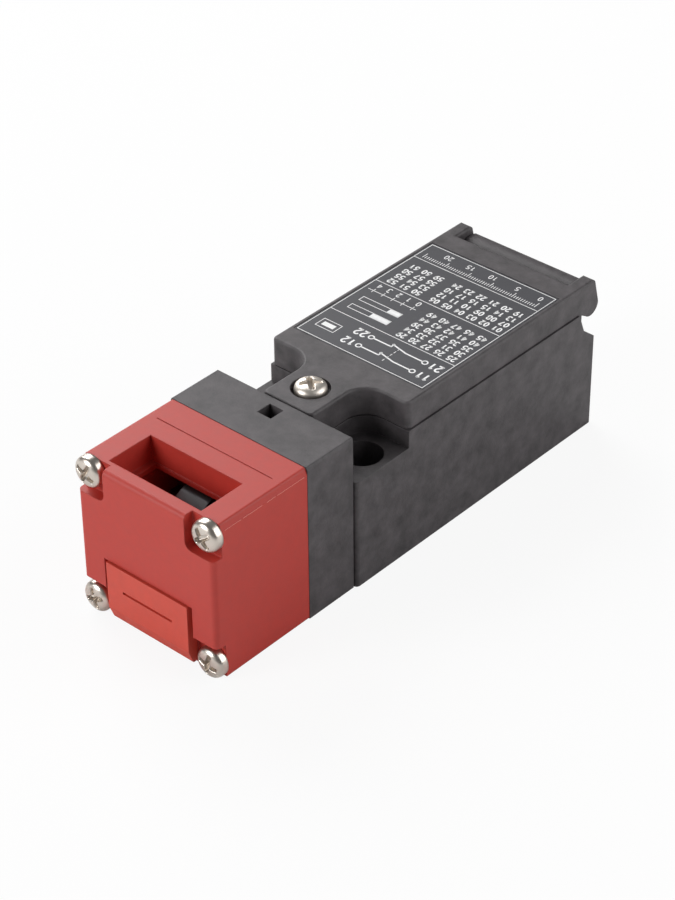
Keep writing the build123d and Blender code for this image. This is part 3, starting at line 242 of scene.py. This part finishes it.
def grid_faces(rows, columns, wrap_rows=False, wrap_columns=False):
    """Four-sided faces of a rows x columns grid of points, closed on itself where asked."""
    i = np.arange(rows if wrap_rows else rows - 1)
    j = np.arange(columns if wrap_columns else columns - 1)
    i, j = np.meshgrid(i, j, indexing="ij")
    a = i * columns + j
    b = i * columns + (j + 1) % columns
    c = (i + 1) % rows * columns + (j + 1) % columns
    d = (i + 1) % rows * columns + j
    return np.stack([a, b, c, d], -1).reshape(-1, 4)


def lathe(profile, steps, shape=None):
    """Surface of revolution about Z: point = (r cos t, r sin t, z) for each (r, z) of the
    profile and each of the equal angles t. A shape function may move the points. The
    first and last radius are close to nothing, so that the poles are closed."""
    t = np.linspace(0, 2 * np.pi, steps, endpoint=False)
    r, z = np.asarray(profile, float).T
    points = np.stack([np.outer(r, np.cos(t)), np.outer(r, np.sin(t)),
                       np.repeat(z[:, None], steps, 1)], -1)
    if shape is not None:
        points = shape(points)
    return points, grid_faces(len(r), steps, wrap_columns=True)


def turned(points, direction, place):
    """Points of a piece made along +Z, turned so that +Z lies along +Y, -Y or +Z."""
    x, y, z = points[..., 0], points[..., 1], points[..., 2]
    if direction == "-Y":
        out = np.stack([x, -z, y], -1)
    elif direction == "+Y":
        out = np.stack([x, z, -y], -1)
    else:
        out = points
    return out + np.asarray(place, float)


def tube(path, radius, sides):
    """Round wire along a path: point = path + radius (N cos t + B sin t), with N and B
    square to the path's tangent. The ends are drawn in to a point."""
    tangent = np.gradient(path, axis=0)
    tangent /= np.linalg.norm(tangent, axis=1)[:, None]
    side = np.cross(tangent, [0.0, 0.0, 1.0])
    side /= np.linalg.norm(side, axis=1)[:, None]
    up = np.cross(side, tangent)
    t = np.linspace(0, 2 * np.pi, sides, endpoint=False)
    reach = np.full(len(path), radius)
    reach[0] = reach[-1] = radius * 0.01
    ring = np.cos(t)[None, :, None] * side[:, None] + np.sin(t)[None, :, None] * up[:, None]
    points = path[:, None] + reach[:, None, None] * ring
    return points, grid_faces(len(path), sides, wrap_columns=True)


def ribbon(path, width, low, high, closed=False):
    """Flat printed line: a rectangle of the given width, from z = low to z = high, swept
    along a flat path. Its sides are the path plus and minus half the width along the
    normal (-ty, tx) of the tangent (tx, ty)."""
    path = np.asarray(path, float)
    if closed:
        tangent = np.roll(path, -1, 0) - np.roll(path, 1, 0)
    else:
        tangent = np.gradient(path, axis=0)
    tangent /= np.linalg.norm(tangent, axis=1)[:, None]
    normal = np.stack([-tangent[:, 1], tangent[:, 0]], 1) * width / 2
    corners = [(path + normal, low), (path + normal, high), (path - normal, high),
               (path - normal, low)]
    points = np.stack([np.column_stack([xy, np.full(len(xy), z)]) for xy, z in corners], 1)
    faces = grid_faces(len(path), 4, wrap_rows=closed, wrap_columns=True)
    if not closed:
        last = 4 * (len(path) - 1)
        faces = np.concatenate([faces, [[3, 2, 1, 0]], [[last, last + 1, last + 2, last + 3]]])
    return points, faces


def arc(cx, cy, rx, ry, start, end, steps=14):
    """Points of an ellipse arc between two angles in degrees."""
    t = np.radians(np.linspace(start, end, steps))
    return list(zip(cx + rx * np.cos(t), cy + ry * np.sin(t)))


def smoothstep(low, high, x):
    """0 below low, 1 above high, 3 s^2 - 2 s^3 between them."""
    s = np.clip((x - low) / (high - low), 0, 1)
    return s * s * (3 - 2 * s)


def pan_screw(size, length, screws, spin=0.0, cross=True):
    """Pan-head screw along Z, of a size given as head radius, head height and shank
    radius. The dome starts at z = height, the head's underside is z = 0 and the shank ends
    at z = -length. The dome's outline is r = R sin(a)^0.72, z = rim + (height - rim)
    cos(a)^0.8. A cross recess takes from the dome a depth that falls from its middle to its
    reach, inside two crossed arms; a straight slot takes one depth from edge to edge. The
    thread adds half a triangle wave of (z / pitch - turn) to the shank's radius, from the
    tip up to the thread's length."""
    radius, height, shank = np.array(size[:3]) * MM
    rim = 0.42 * height
    angle = np.linspace(0.0005, 0.5 * np.pi, 44)
    dome_r = radius * np.sin(angle) ** 0.72
    dome_z = rim + (height - rim) * np.cos(angle) ** 0.8
    edge = 0.06 * radius
    head = list(zip(dome_r, dome_z))
    head += [(radius, rim * 0.5), (radius, edge), (radius - edge, 0.0), (shank * 1.05, 0.0)]
    crest = shank
    root = shank - 0.3 * screws.thread_pitch
    thread = min(length - 0.3 * MM, screws.thread_length)
    rows = int(thread / screws.thread_pitch * 8)
    z = np.linspace(thread - length, -length + 0.6 * shank, rows)
    body = [(crest, -0.05 * MM)] + [(crest, v) for v in z]
    tip = [(0.75 * crest, -length + 0.2 * shank), (0.5 * crest, -length), (1e-6, -length)]

    def carve(p):
        x, y, h = p[..., 0], p[..., 1], p[..., 2]
        r = np.hypot(x, y)
        t = np.arctan2(y, x)
        reach = screws.recess_reach * radius
        arm = screws.recess_arm * radius * (1 - 0.35 * np.clip(r / reach, 0, 1))
        soft = 0.03 * radius
        across = np.minimum(np.abs(x), np.abs(y))
        inside = 1 - smoothstep(arm - soft, arm + soft, across)
        inside = np.maximum(inside, 1 - smoothstep(0.17 * radius, 0.25 * radius, r))
        inside = inside * (1 - smoothstep(reach - soft, reach + soft, r))
        depth = height * (0.78 - 0.42 * np.clip(r / reach, 0, 1))
        if not cross:
            wide = screws.recess_arm * radius
            inside = 1 - smoothstep(wide - soft, wide + soft, np.abs(x))
            depth = 0.5 * height
        on_dome = h > rim * 0.9
        h = np.where(on_dome, h - depth * inside, h)
        wave = np.abs((h / screws.thread_pitch - t / (2 * np.pi)) % 1 * 2 - 1)
        on_shank = (h < thread - length) & (r > 0.98 * crest)
        scale = np.where(on_shank, (root + (crest - root) * wave) / crest, 1.0)
        return np.stack([x * scale, y * scale, h], -1)

    points, faces = lathe(head + body + tip, 112, carve)
    c, s = math.cos(spin), math.sin(spin)
    x, y = points[..., 0].copy(), points[..., 1].copy()
    points[..., 0] = c * x - s * y
    points[..., 1] = s * x + c * y
    return points, faces


def coil(radius, wire, length, turns):
    """Spring along Z from 0 to its length: a wire along (R cos t, R sin t, length s), with
    the first and last turn pressed close, as s is a smooth step of the turn there."""
    s = np.linspace(0, 1, int(turns * 36))
    closed = 0.5 * (s - np.sin(2 * np.pi * s) / (2 * np.pi)) + 0.5 * s
    t = 2 * np.pi * turns * s
    path = np.stack([radius * np.cos(t), radius * np.sin(t), length * closed], -1)
    return tube(path, wire, 12)


# Finishes


def principled(name):
    """New node material and its shader."""
    material = bpy.data.materials.new(name)
    material.use_nodes = True
    return material, material.node_tree, material.node_tree.nodes["Principled BSDF"]


def add(tree, kind, **values):
    """New shader node with its sockets set by name."""
    node = tree.nodes.new(kind)
    for key, value in values.items():
        node.inputs[key.replace("_", " ")].default_value = value
    return node


def moulding(name, colour, roughness, grain, mottle=0.1, mottle_size=1.6 * MM,
             grain_depth=0.012 * MM, edge=0.12 * MM):
    """Moulded plastic: a fine eroded grain as bump over slightly rounded edges, with soft
    mottling of the colour and of the gloss."""
    material, tree, shader = principled(name)
    place = add(tree, "ShaderNodeTexCoord")
    cloud = add(tree, "ShaderNodeTexNoise", Scale=1 / mottle_size, Detail=5.0, Roughness=0.65)
    tree.links.new(place.outputs["Object"], cloud.inputs["Vector"])
    tint = tree.nodes.new("ShaderNodeValToRGB")
    base = np.array(colour[:3])
    tint.color_ramp.elements[0].position = 0.3
    tint.color_ramp.elements[1].position = 0.7
    tint.color_ramp.elements[0].color = (*(base * (1 - mottle)), 1)
    tint.color_ramp.elements[1].color = (*(base * (1 + mottle)), 1)
    tree.links.new(cloud.outputs["Fac"], tint.inputs["Fac"])
    tree.links.new(tint.outputs["Color"], shader.inputs["Base Color"])
    gloss = add(tree, "ShaderNodeMapRange")
    gloss.inputs["To Min"].default_value = roughness - 0.06
    gloss.inputs["To Max"].default_value = roughness + 0.06
    tree.links.new(cloud.outputs["Fac"], gloss.inputs["Value"])
    tree.links.new(gloss.outputs["Result"], shader.inputs["Roughness"])
    fine = add(tree, "ShaderNodeTexNoise", Scale=1 / grain, Detail=3.0, Roughness=0.6)
    tree.links.new(place.outputs["Object"], fine.inputs["Vector"])
    soft_edge = tree.nodes.new("ShaderNodeBevel")
    soft_edge.samples = 6
    soft_edge.inputs["Radius"].default_value = edge
    bump = add(tree, "ShaderNodeBump", Strength=1.0, Distance=grain_depth)
    tree.links.new(fine.outputs["Fac"], bump.inputs["Height"])
    tree.links.new(soft_edge.outputs["Normal"], bump.inputs["Normal"])
    tree.links.new(bump.outputs["Normal"], shader.inputs["Normal"])
    return material


def metal(name, colour, roughness, scratch=0.35 * MM, depth=0.002 * MM, edge=0.05 * MM):
    """Plated or bare metal: fine stretched tool marks as bump, with clouded gloss."""
    material, tree, shader = principled(name)
    shader.inputs["Base Color"].default_value = colour
    shader.inputs["Metallic"].default_value = 1.0
    place = add(tree, "ShaderNodeTexCoord")
    stretch = add(tree, "ShaderNodeMapping", Scale=(1.0, 0.25, 1.0))
    tree.links.new(place.outputs["Object"], stretch.inputs["Vector"])
    marks = add(tree, "ShaderNodeTexNoise", Scale=1 / scratch, Detail=4.0, Roughness=0.7)
    tree.links.new(stretch.outputs["Vector"], marks.inputs["Vector"])
    gloss = add(tree, "ShaderNodeMapRange")
    gloss.inputs["To Min"].default_value = roughness * 0.75
    gloss.inputs["To Max"].default_value = roughness * 1.3
    tree.links.new(marks.outputs["Fac"], gloss.inputs["Value"])
    tree.links.new(gloss.outputs["Result"], shader.inputs["Roughness"])
    soft_edge = tree.nodes.new("ShaderNodeBevel")
    soft_edge.samples = 6
    soft_edge.inputs["Radius"].default_value = edge
    bump = add(tree, "ShaderNodeBump", Strength=1.0, Distance=depth)
    tree.links.new(marks.outputs["Fac"], bump.inputs["Height"])
    tree.links.new(soft_edge.outputs["Normal"], bump.inputs["Normal"])
    tree.links.new(bump.outputs["Normal"], shader.inputs["Normal"])
    return material


def paint(obj, material):
    """Gives every face of an object one material."""
    obj.data.materials.clear()
    obj.data.materials.append(material)


# Strokes of the digits in a box 0.6 wide and 1 high
DIGITS = {
    "0": [arc(0.3, 0.5, 0.25, 0.5, 90, 450, 24)],
    "1": [[(0.12, 0.78), (0.36, 1.0)], [(0.36, 1.0), (0.36, 0.0)]],
    "2": [arc(0.3, 0.72, 0.26, 0.28, 165, -38) + [(0.04, 0.0)], [(0.0, 0.0), (0.6, 0.0)]],
    "3": [arc(0.28, 0.75, 0.25, 0.25, 150, -90), arc(0.28, 0.26, 0.29, 0.26, 90, -150)],
    "4": [[(0.44, 0.0), (0.44, 1.0)], [(0.44, 1.0), (0.0, 0.3)], [(0.0, 0.3), (0.62, 0.3)]],
    "5": [[(0.54, 1.0), (0.1, 1.0)], [(0.1, 1.0), (0.07, 0.52)],
          arc(0.27, 0.32, 0.3, 0.32, 125, -145)],
    "6": [arc(0.3, 0.3, 0.27, 0.3, 0, 360, 20), arc(0.62, 0.3, 0.59, 0.7, 180, 100)],
    "7": [[(0.0, 1.0), (0.58, 1.0)], [(0.58, 1.0), (0.18, 0.0)]],
    "8": [arc(0.3, 0.76, 0.23, 0.24, 90, 450, 20), arc(0.3, 0.27, 0.28, 0.27, 90, 450, 20)],
    "9": [arc(0.3, 0.7, 0.27, 0.3, 0, 360, 20), arc(-0.02, 0.7, 0.59, 0.7, 0, -80)],
}


class Sheet:
    """Printed lines gathered in reading axes: u to the right, v up. The sheet is read from
    the cable end, so u runs along -X and v along -Y."""

    def __init__(self, low, high, line):
        self.low = low
        self.high = high
        self.line = line
        self.parts = []

    def stroke(self, path, width=None, closed=False):
        """One printed line along a path of (u, v) in millimetres."""
        path = -np.asarray(path, float) * MM
        width = self.line if width is None else width * MM
        self.parts.append(ribbon(path, width, self.low, self.high, closed))

    def bar(self, u0, u1, v, height):
        """Filled bar from u0 to u1, centred on v."""
        self.stroke([(u0, v), (u1, v)], height)

    def frame(self, u0, u1, v0, v1):
        """Ruled rectangle with square corners."""
        half = self.line / MM / 2
        for v in (v0, v1):
            self.stroke([(u0 - half, v), (u1 + half, v)])
        for u in (u0, u1):
            self.stroke([(u, v0 + half), (u, v1 - half)])

    def ring(self, u, v, radius, width=None):
        """Small circle."""
        self.stroke(arc(u, v, radius, radius, 0, 345, 24), width, closed=True)

    def number(self, text, u, v, height, width):
        """Digits that start at (u, v), with 0.82 of their height from one to the next."""
        for i, digit in enumerate(text):
            for stroke in DIGITS[digit]:
                spots = np.asarray(stroke, float) * height
                self.stroke(spots + [u + 0.82 * height * i, v], width)


def finish_piece(obj, body, slot, material, *replaced):
    """Material, body and replaced nodes of a new piece; the slot is not used."""
    paint(obj, material)
    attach(obj, body)
    if replaced:
        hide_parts(*replaced)
    return obj


# Pieces


class SWITCH_OT_mouldings(bpy.types.Operator):
    """Finishes of the moulded, turned and stamped solids"""

    bl_idname = "switch.mouldings"
    bl_label = "Mouldings"

    def execute(self, context):
        f = context.scene.switch_finish
        grain = f.grain_size
        rough = f.moulding_roughness
        red = moulding("moulded_red", f.head_red, rough, grain, mottle=0.05, edge=0.25 * MM)
        cap = moulding("moulded_cap_red", f.cap_red, rough, grain, mottle=0.05)
        black = moulding("moulded_black", f.body_black, rough + 0.03, grain, mottle=0.4,
                         mottle_size=3.2 * MM, grain_depth=0.03 * MM, edge=0.2 * MM)
        label = moulding("label_film", f.label_black, 0.45, grain, mottle=0.05,
                         grain_depth=0.004 * MM)
        block = moulding("block_plastic", linear((92, 92, 90)), 0.45, grain)
        white = moulding("slider_plastic", linear((222, 220, 212)), 0.4, grain, mottle=0.04)
        grey = metal("cam_metal", linear((128, 128, 130)), 0.38)
        rubber = moulding("seal_rubber", linear((38, 38, 38)), 0.75, grain, mottle=0.15)
        steel = metal("bare_steel", linear((178, 176, 172)), 0.34)
        brass = metal("brass", linear((206, 172, 104)), 0.3)
        tin = metal("contact_metal", linear((206, 200, 184)), 0.3)
        wear = {
            "head_shell": red, "slot_cap": cap, "head_base": black, "housing": black,
            "cover": black, "label_plate": label, "cam_rotor": grey, "cam_axle": steel,
            "plunger": white, "guide_bush": white, "plunger_seal": rubber,
            "cover_gasket": rubber, "cover_insert": brass, "cover_screw_ring": steel,
            "block_case": block, "block_lid": block, "contact_carrier": white,
            "contact_bridges": tin, "fixed_contacts": tin, "terminal_clamps": steel,
            "head_screws": steel, "base_screws": steel, "cover_screw": steel,
            "terminal_screws": steel, "block_screws": steel, "plunger_spring": steel,
            "carrier_spring": steel, "contact_springs": steel,
        }
        for name, node in NODES.items():
            paint(node, wear[name])
        return {"FINISHED"}


class SWITCH_OT_flash(bpy.types.Operator):
    """Thin broken pale lines along both sides of the head, at the foot of its top bevel: a
    painted highlight where that edge catches the light
    """

    bl_idname = "switch.flash"
    bl_label = "Painted highlight lines"

    def execute(self, context):
        f = context.scene.switch_finish
        (low_x, low_y, _), (high_x, high_y, high_z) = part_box("head_shell")
        z = high_z - f.flash_drop
        length = high_y - low_y
        parts = []
        for x, out in ((low_x, -1), (high_x, 1)):
            for start, end in ((0.13, 0.3), (0.32, 0.52), (0.57, 0.66), (0.68, 0.97)):
                y = np.linspace(low_y + start * length, low_y + end * length, 60)
                wave = 0.02 * MM * np.sin(2100 * y) + 0.015 * MM * np.sin(5300 * y + out)
                path = np.stack([y, z + wave], 1)
                p, q = ribbon(path, f.flash_width, x - 0.01 * MM, x + out * 0.02 * MM)
                parts.append((p[..., [2, 0, 1]], q if out > 0 else q[:, ::-1]))
        # The pale red of these lines is a painted highlight, not a colour of the moulding
        pale = moulding("flash_red", f.flash_red, 0.4, f.grain_size, mottle=0.1,
                        grain_depth=0.002 * MM, edge=0.005 * MM)
        finish_piece(mesh_object("head_painted_highlight", parts, smooth=False), "base", "head_red", pale)
        return {"FINISHED"}


class SWITCH_OT_entry(bpy.types.Operator):
    """Thread inside the cable entry: a sharp ridge of four sides, half sunk in the wall,
    along (R cos t, R sin t, pitch t / (2 pi))"""

    bl_idname = "switch.entry"
    bl_label = "Entry thread"

    def execute(self, context):
        entry = context.scene.switch_entry
        turns = int(entry.depth / entry.pitch)
        t = np.linspace(0, 2 * np.pi * turns, turns * 72)
        reach = entry.bore + entry.sunk
        path = np.stack([reach * np.cos(t), reach * np.sin(t),
                         entry.pitch * t / (2 * np.pi)], -1)
        points, faces = tube(path, entry.ridge, 4)
        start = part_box("housing")[1][1] - entry.lead - entry.pitch * turns
        ridge = (turned(points, "+Y", (0, start, ENTRY_Z * MM)), faces)
        finish_piece(mesh_object("entry_thread", [ridge], smooth=False), "base",
                     "body_black", bpy.data.materials["moulded_black"])
        return {"FINISHED"}


class SWITCH_OT_screws(bpy.types.Operator):
    """Cross-recess screws with domed heads and threads"""

    bl_idname = "switch.screws"
    bl_label = "Screws"

    def execute(self, context):
        s = context.scene.switch_screws
        nickel = metal("nickel_plate", linear((215, 206, 196)), 0.3)
        zinc = metal("zinc_plate", linear((190, 190, 186)), 0.28)
        spins = (0.35, 1.1, -0.2, 0.65)
        parts = []
        for (x, z), spin in zip(HEAD_SCREWS, spins):
            p, q = pan_screw(HEAD_SCREW, HEAD_SCREW[3] * MM, s, spin)
            parts.append((turned(p, "-Y", (x * MM, HEAD_SCREW_SEAT * MM, z * MM)), q))
        finish_piece(mesh_object("head_screw_set", parts), "base", "nickel_steel", nickel,
                     "head_screws")
        p, q = pan_screw(COVER_SCREW, COVER_SCREW[3] * MM, s, 0.9)
        parts = [(turned(p, "+Z", np.array(COVER_SCREW_SEAT) * MM), q)]
        # Painted reflection: the cover screw's nickel is a lighter copy of the head screws'
        # plating, so its top-facing dome reads bright; its higher roughness is the satin finish
        satin = metal("nickel_satin_painted_bright", linear((236, 228, 218)), 0.42)
        finish_piece(mesh_object("cover_screw_detail", parts), "cover_screw", "nickel_steel",
                     satin, "cover_screw")
        parts = []
        for x in (-BASE_SCREW_X, BASE_SCREW_X):
            p, q = pan_screw(BASE_SCREW, BASE_SCREW[3] * MM, s, 0.4, cross=False)
            seat = (x * MM, BASE_SCREW_SEAT * MM, BASE_SCREW_Z * MM)
            parts.append((turned(p, "+Y", seat), q))
        finish_piece(mesh_object("base_screw_set", parts), "base", "steel", zinc, "base_screws")
        low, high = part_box("terminal_screws")
        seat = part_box("terminal_clamps")[1][2]
        head = TERMINAL_SCREW[0] * MM
        parts = []
        for i, x in enumerate((-TERMINAL_X, TERMINAL_X)):
            for j, y in enumerate((low[1] + head, high[1] - head)):
                p, q = pan_screw(TERMINAL_SCREW, seat - low[2], s, 0.3 + i + 2 * j,
                                 cross=False)
                parts.append((turned(p, "+Z", (x * MM, y, seat)), q))
        finish_piece(mesh_object("terminal_screw_set", parts), "base", "steel", zinc,
                     "terminal_screws")
        low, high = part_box("block_screws")
        middle = (low[1] + high[1]) / 2
        seat = high[2] - BLOCK_SCREW[1] * MM
        parts = []
        for x in (-BLOCK_SCREW_X, BLOCK_SCREW_X):
            p, q = pan_screw(BLOCK_SCREW, seat - low[2], s, 0.8, cross=False)
            parts.append((turned(p, "+Z", (x * MM, middle, seat)), q))
        finish_piece(mesh_object("block_screw_set", parts), "base", "steel", zinc,
                     "block_screws")
        return {"FINISHED"}


class SWITCH_OT_printing(bpy.types.Operator):
    """White printing on the label plate: a ruled frame, a scale, tables of plain numbers,
    a travel diagram and the diagram of the two contacts"""

    bl_idname = "switch.printing"
    bl_label = "Printing"

    def execute(self, context):
        f = context.scene.switch_finish
        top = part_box("label_plate")[1][2]
        sheet = Sheet(top - 0.01 * MM, top + 0.015 * MM, f.print_line)
        sheet.frame(-LABEL_HALF, LABEL_HALF, *LABEL_ENDS)
        for v in LABEL_RULES:
            sheet.stroke([(-LABEL_HALF, v), (LABEL_HALF, v)])
        self.scale(sheet)
        self.table(sheet, -12.9, -33.6, 4, 6, 1)
        self.table(sheet, -12.9, -21.6, 5, 5, 25)
        self.table(sheet, 4.9, -33.6, 4, 3, 50)
        self.travel(sheet)
        self.contacts(sheet)
        ink = moulding("print_ink", f.print_white, 0.5, f.grain_size, mottle=0.06,
                       grain_depth=0.002 * MM, edge=0.005 * MM)
        finish_piece(mesh_object("label_print", sheet.parts, smooth=False), "cover",
                     "print_white", ink)
        return {"FINISHED"}

    def scale(self, sheet):
        """Ruled scale with a longer line and a number at every fifth division."""
        for i in range(51):
            u = -12.5 + 0.5 * i
            length = 1.5 if i % 10 == 0 else 0.8
            sheet.stroke([(u, -42.6), (u, -42.6 - length)], 0.13)
            if i % 10 == 0 and i < 50:
                sheet.number(str(i // 2), u + 0.35, -45.9, 1.15, 0.17)

    def table(self, sheet, u, v, rows, columns, first):
        """Rows of two-digit numbers, counted up from the first."""
        for i in range(rows * columns):
            row, column = divmod(i, columns)
            sheet.number(f"{first + i:02d}", u + 2.75 * column, v - 2.0 * row, 1.2, 0.27)

    def travel(self, sheet):
        """Travel diagram: two bars over an axis with five numbered divisions."""
        sheet.stroke([(2.2, -28.6), (13.0, -28.6)])
        for i in range(5):
            u = 3.0 + 2.2 * i
            sheet.stroke([(u, -28.0), (u, -29.2)])
            sheet.number(str(i), u - 0.35, -30.9, 1.2, 0.2)
        sheet.bar(3.0, 7.0, -22.4, 1.3)
        sheet.bar(3.0, 5.6, -25.4, 1.3)
        for v in (-22.4, -25.4):
            sheet.frame(3.0, 11.8, v - 0.65, v + 0.65)

    def contacts(self, sheet):
        """Two normally closed contacts with ringed ends, joined by a dashed line."""
        for v, left, right in ((-13.9, "11", "12"), (-17.2, "21", "22")):
            sheet.number(left, -13.0, v - 0.8, 1.7, 0.36)
            sheet.number(right, 3.4, v - 0.8, 1.7, 0.36)
            for u in (-9.4, 2.4):
                sheet.ring(u, v, 0.5, 0.25)
            sheet.stroke([(-8.9, v), (-5.2, v)], 0.3)
            sheet.stroke([(-2.0, v), (1.9, v)], 0.3)
            sheet.stroke([(-5.2, v), (-1.7, v - 0.75)], 0.3)
            sheet.stroke([(-2.0, v + 0.12), (-2.0, v - 1.0)], 0.3)
        for i in range(5):
            sheet.stroke([(-3.6, -13.0 - 1.0 * i), (-3.6, -13.6 - 1.0 * i)])
        sheet.frame(8.3, 12.3, -16.5, -14.0)
        sheet.bar(9.0, 11.6, -15.25, 1.1)


class SWITCH_OT_springs(bpy.types.Operator):
    """Coil springs of round wire"""

    bl_idname = "switch.springs"
    bl_label = "Springs"

    def execute(self, context):
        wire = metal("spring_wire", linear((168, 168, 170)), 0.25)
        for node, body, radius, thick, turns in (
                ("plunger_spring", "base", 3.1, 0.3, 4.5),
                ("carrier_spring", "base", 1.5, 0.25, 4),
                ("contact_springs", "plunger", 1.2, 0.2, 2.5)):
            low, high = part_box(node)
            parts = []
            starts = [low[1]]
            length = high[1] - low[1]
            if node == "contact_springs":
                length = 4.0 * MM
                starts = [low[1], high[1] - length]
            for start in starts:
                p, q = coil(radius * MM, thick * MM, length - 2 * thick * MM, turns)
                seat = (0, start + thick * MM, PLUNGER_Z * MM)
                parts.append((turned(p, "+Y", seat), q))
            finish_piece(mesh_object(node + "_wire", parts), body, "steel", wire, node)
        return {"FINISHED"}


# Light and camera


def set_down(obj, side, up, back, place):
    """Turns a lamp or camera to the three axes and puts it at the place."""
    rows = [[side[i], up[i], back[i], place[i]] for i in range(3)]
    obj.matrix_world = Matrix(rows + [[0, 0, 0, 1]])


class SWITCH_OT_stage(bpy.types.Operator):
    """Floor, soft light and the camera"""

    bl_idname = "switch.stage"
    bl_label = "Stage"

    def execute(self, context):
        stage = context.scene.switch_stage
        world = bpy.data.worlds.new("studio")
        context.scene.world = world
        world.use_nodes = True
        tree = world.node_tree
        tree.nodes.clear()
        path = tree.nodes.new("ShaderNodeLightPath")
        lit = add(tree, "ShaderNodeBackground", Color=(1, 1, 1, 1), Strength=stage.ambient)
        shown = add(tree, "ShaderNodeBackground", Color=(1, 1, 1, 1), Strength=1.0)
        mix = tree.nodes.new("ShaderNodeMixShader")
        out = tree.nodes.new("ShaderNodeOutputWorld")
        tree.links.new(path.outputs["Is Camera Ray"], mix.inputs[0])
        tree.links.new(lit.outputs[0], mix.inputs[1])
        tree.links.new(shown.outputs[0], mix.inputs[2])
        tree.links.new(mix.outputs[0], out.inputs["Surface"])
        self.floor(context)
        self.softbox("front_left", *FRONT_LEFT, stage.front_power)
        self.softbox("back_right", *BACK_RIGHT, stage.side_power)
        self.softbox("back_left", *BACK_LEFT, stage.sheen_power)
        self.camera(context)
        return {"FINISHED"}

    def floor(self, context):
        """Pale floor under the switch, white to the camera and still taking its shadow."""
        size = 3.0
        drop = 0.02 * MM
        points = np.array([[-size, -size, -drop], [size, -size, -drop], [size, size, -drop],
                           [-size, size, -drop]])
        floor = mesh_object("floor", [(points, np.array([[0, 1, 2, 3]]))], smooth=False)
        material, tree, shader = principled("floor_white")
        shader.inputs["Base Color"].default_value = (0.9, 0.9, 0.9, 1)
        shader.inputs["Roughness"].default_value = 0.9
        shader.inputs["Specular IOR Level"].default_value = 0.1
        glow = add(tree, "ShaderNodeEmission", Color=(1, 1, 1, 1), Strength=1.0)
        path = tree.nodes.new("ShaderNodeLightPath")
        seen = tree.nodes.new("ShaderNodeMath")
        seen.operation = "MULTIPLY"
        seen.inputs[1].default_value = 0.9
        tree.links.new(path.outputs["Is Camera Ray"], seen.inputs[0])
        mix = tree.nodes.new("ShaderNodeMixShader")
        tree.links.new(seen.outputs[0], mix.inputs[0])
        tree.links.new(shader.outputs[0], mix.inputs[1])
        tree.links.new(glow.outputs[0], mix.inputs[2])
        tree.links.new(mix.outputs[0], tree.nodes["Material Output"].inputs["Surface"])
        paint(floor, material)

    def softbox(self, name, place, size, power):
        """Square area lamp at a place, turned to face the switch."""
        lamp = bpy.data.lights.new(name, "AREA")
        lamp.size = size
        lamp.energy = power
        obj = bpy.data.objects.new(name, lamp)
        bpy.context.scene.collection.objects.link(obj)
        back = np.asarray(place, float) - np.asarray(LIT_POINT, float)
        back /= np.linalg.norm(back)
        side = np.cross([0.0, 1.0, 0.001], back)
        side /= np.linalg.norm(side)
        up = np.cross(back, side)
        set_down(obj, side, up, back, place)

    def camera(self, context):
        """Camera of the reference view, from its azimuth, elevation, roll and distance."""
        az, el, roll = np.radians([CAMERA_AZIMUTH, CAMERA_ELEVATION, CAMERA_ROLL])
        back = np.array([np.sin(az) * np.cos(el), -np.cos(az) * np.cos(el), np.sin(el)])
        right = np.array([np.cos(az), np.sin(az), 0.0])
        up = np.cross(back, right)
        r = right * np.cos(roll) + up * np.sin(roll)
        u = up * np.cos(roll) - right * np.sin(roll)
        place = np.array(CAMERA_TARGET) + back * CAMERA_DISTANCE
        data = bpy.data.cameras.new("reference_view")
        data.sensor_width = SENSOR
        data.lens = FOCAL_PIXELS * SENSOR / IMAGE_HEIGHT
        data.clip_start = 0.01
        data.clip_end = 20
        obj = bpy.data.objects.new("reference_view", data)
        context.scene.collection.objects.link(obj)
        set_down(obj, r, u, back, place)
        context.scene.camera = obj
        context.scene.view_settings.view_transform = "Standard"


class SWITCH_PT_panel(bpy.types.Panel):
    """Steps of the switch, in the sidebar"""

    bl_idname = "SWITCH_PT_panel"
    bl_label = "Tongue interlock switch"
    bl_space_type = "VIEW_3D"
    bl_region_type = "UI"
    bl_category = "Switch"

    def draw(self, context):
        for step in STEPS:
            self.layout.operator(step.bl_idname)


STEPS = (SWITCH_OT_mouldings, SWITCH_OT_flash, SWITCH_OT_entry, SWITCH_OT_printing,
         SWITCH_OT_screws, SWITCH_OT_springs, SWITCH_OT_stage)
CLASSES = (SwitchFinish, SwitchScrews, SwitchEntry, SwitchStage, *STEPS, SWITCH_PT_panel)
SETTINGS = {
    "switch_finish": SwitchFinish,
    "switch_screws": SwitchScrews,
    "switch_entry": SwitchEntry,
    "switch_stage": SwitchStage,
}


def register():
    for cls in CLASSES:
        bpy.utils.register_class(cls)
    for name, group in SETTINGS.items():
        setattr(bpy.types.Scene, name, bpy.props.PointerProperty(type=group))


def unregister():
    for name in SETTINGS:
        delattr(bpy.types.Scene, name)
    for cls in reversed(CLASSES):
        bpy.utils.unregister_class(cls)


def main():
    register()
    bpy.ops.switch.mouldings()
    bpy.ops.switch.flash()
    bpy.ops.switch.entry()
    bpy.ops.switch.printing()
    bpy.ops.switch.screws()
    bpy.ops.switch.springs()
    bpy.ops.switch.stage()


if __name__ == "__main__":
    main()
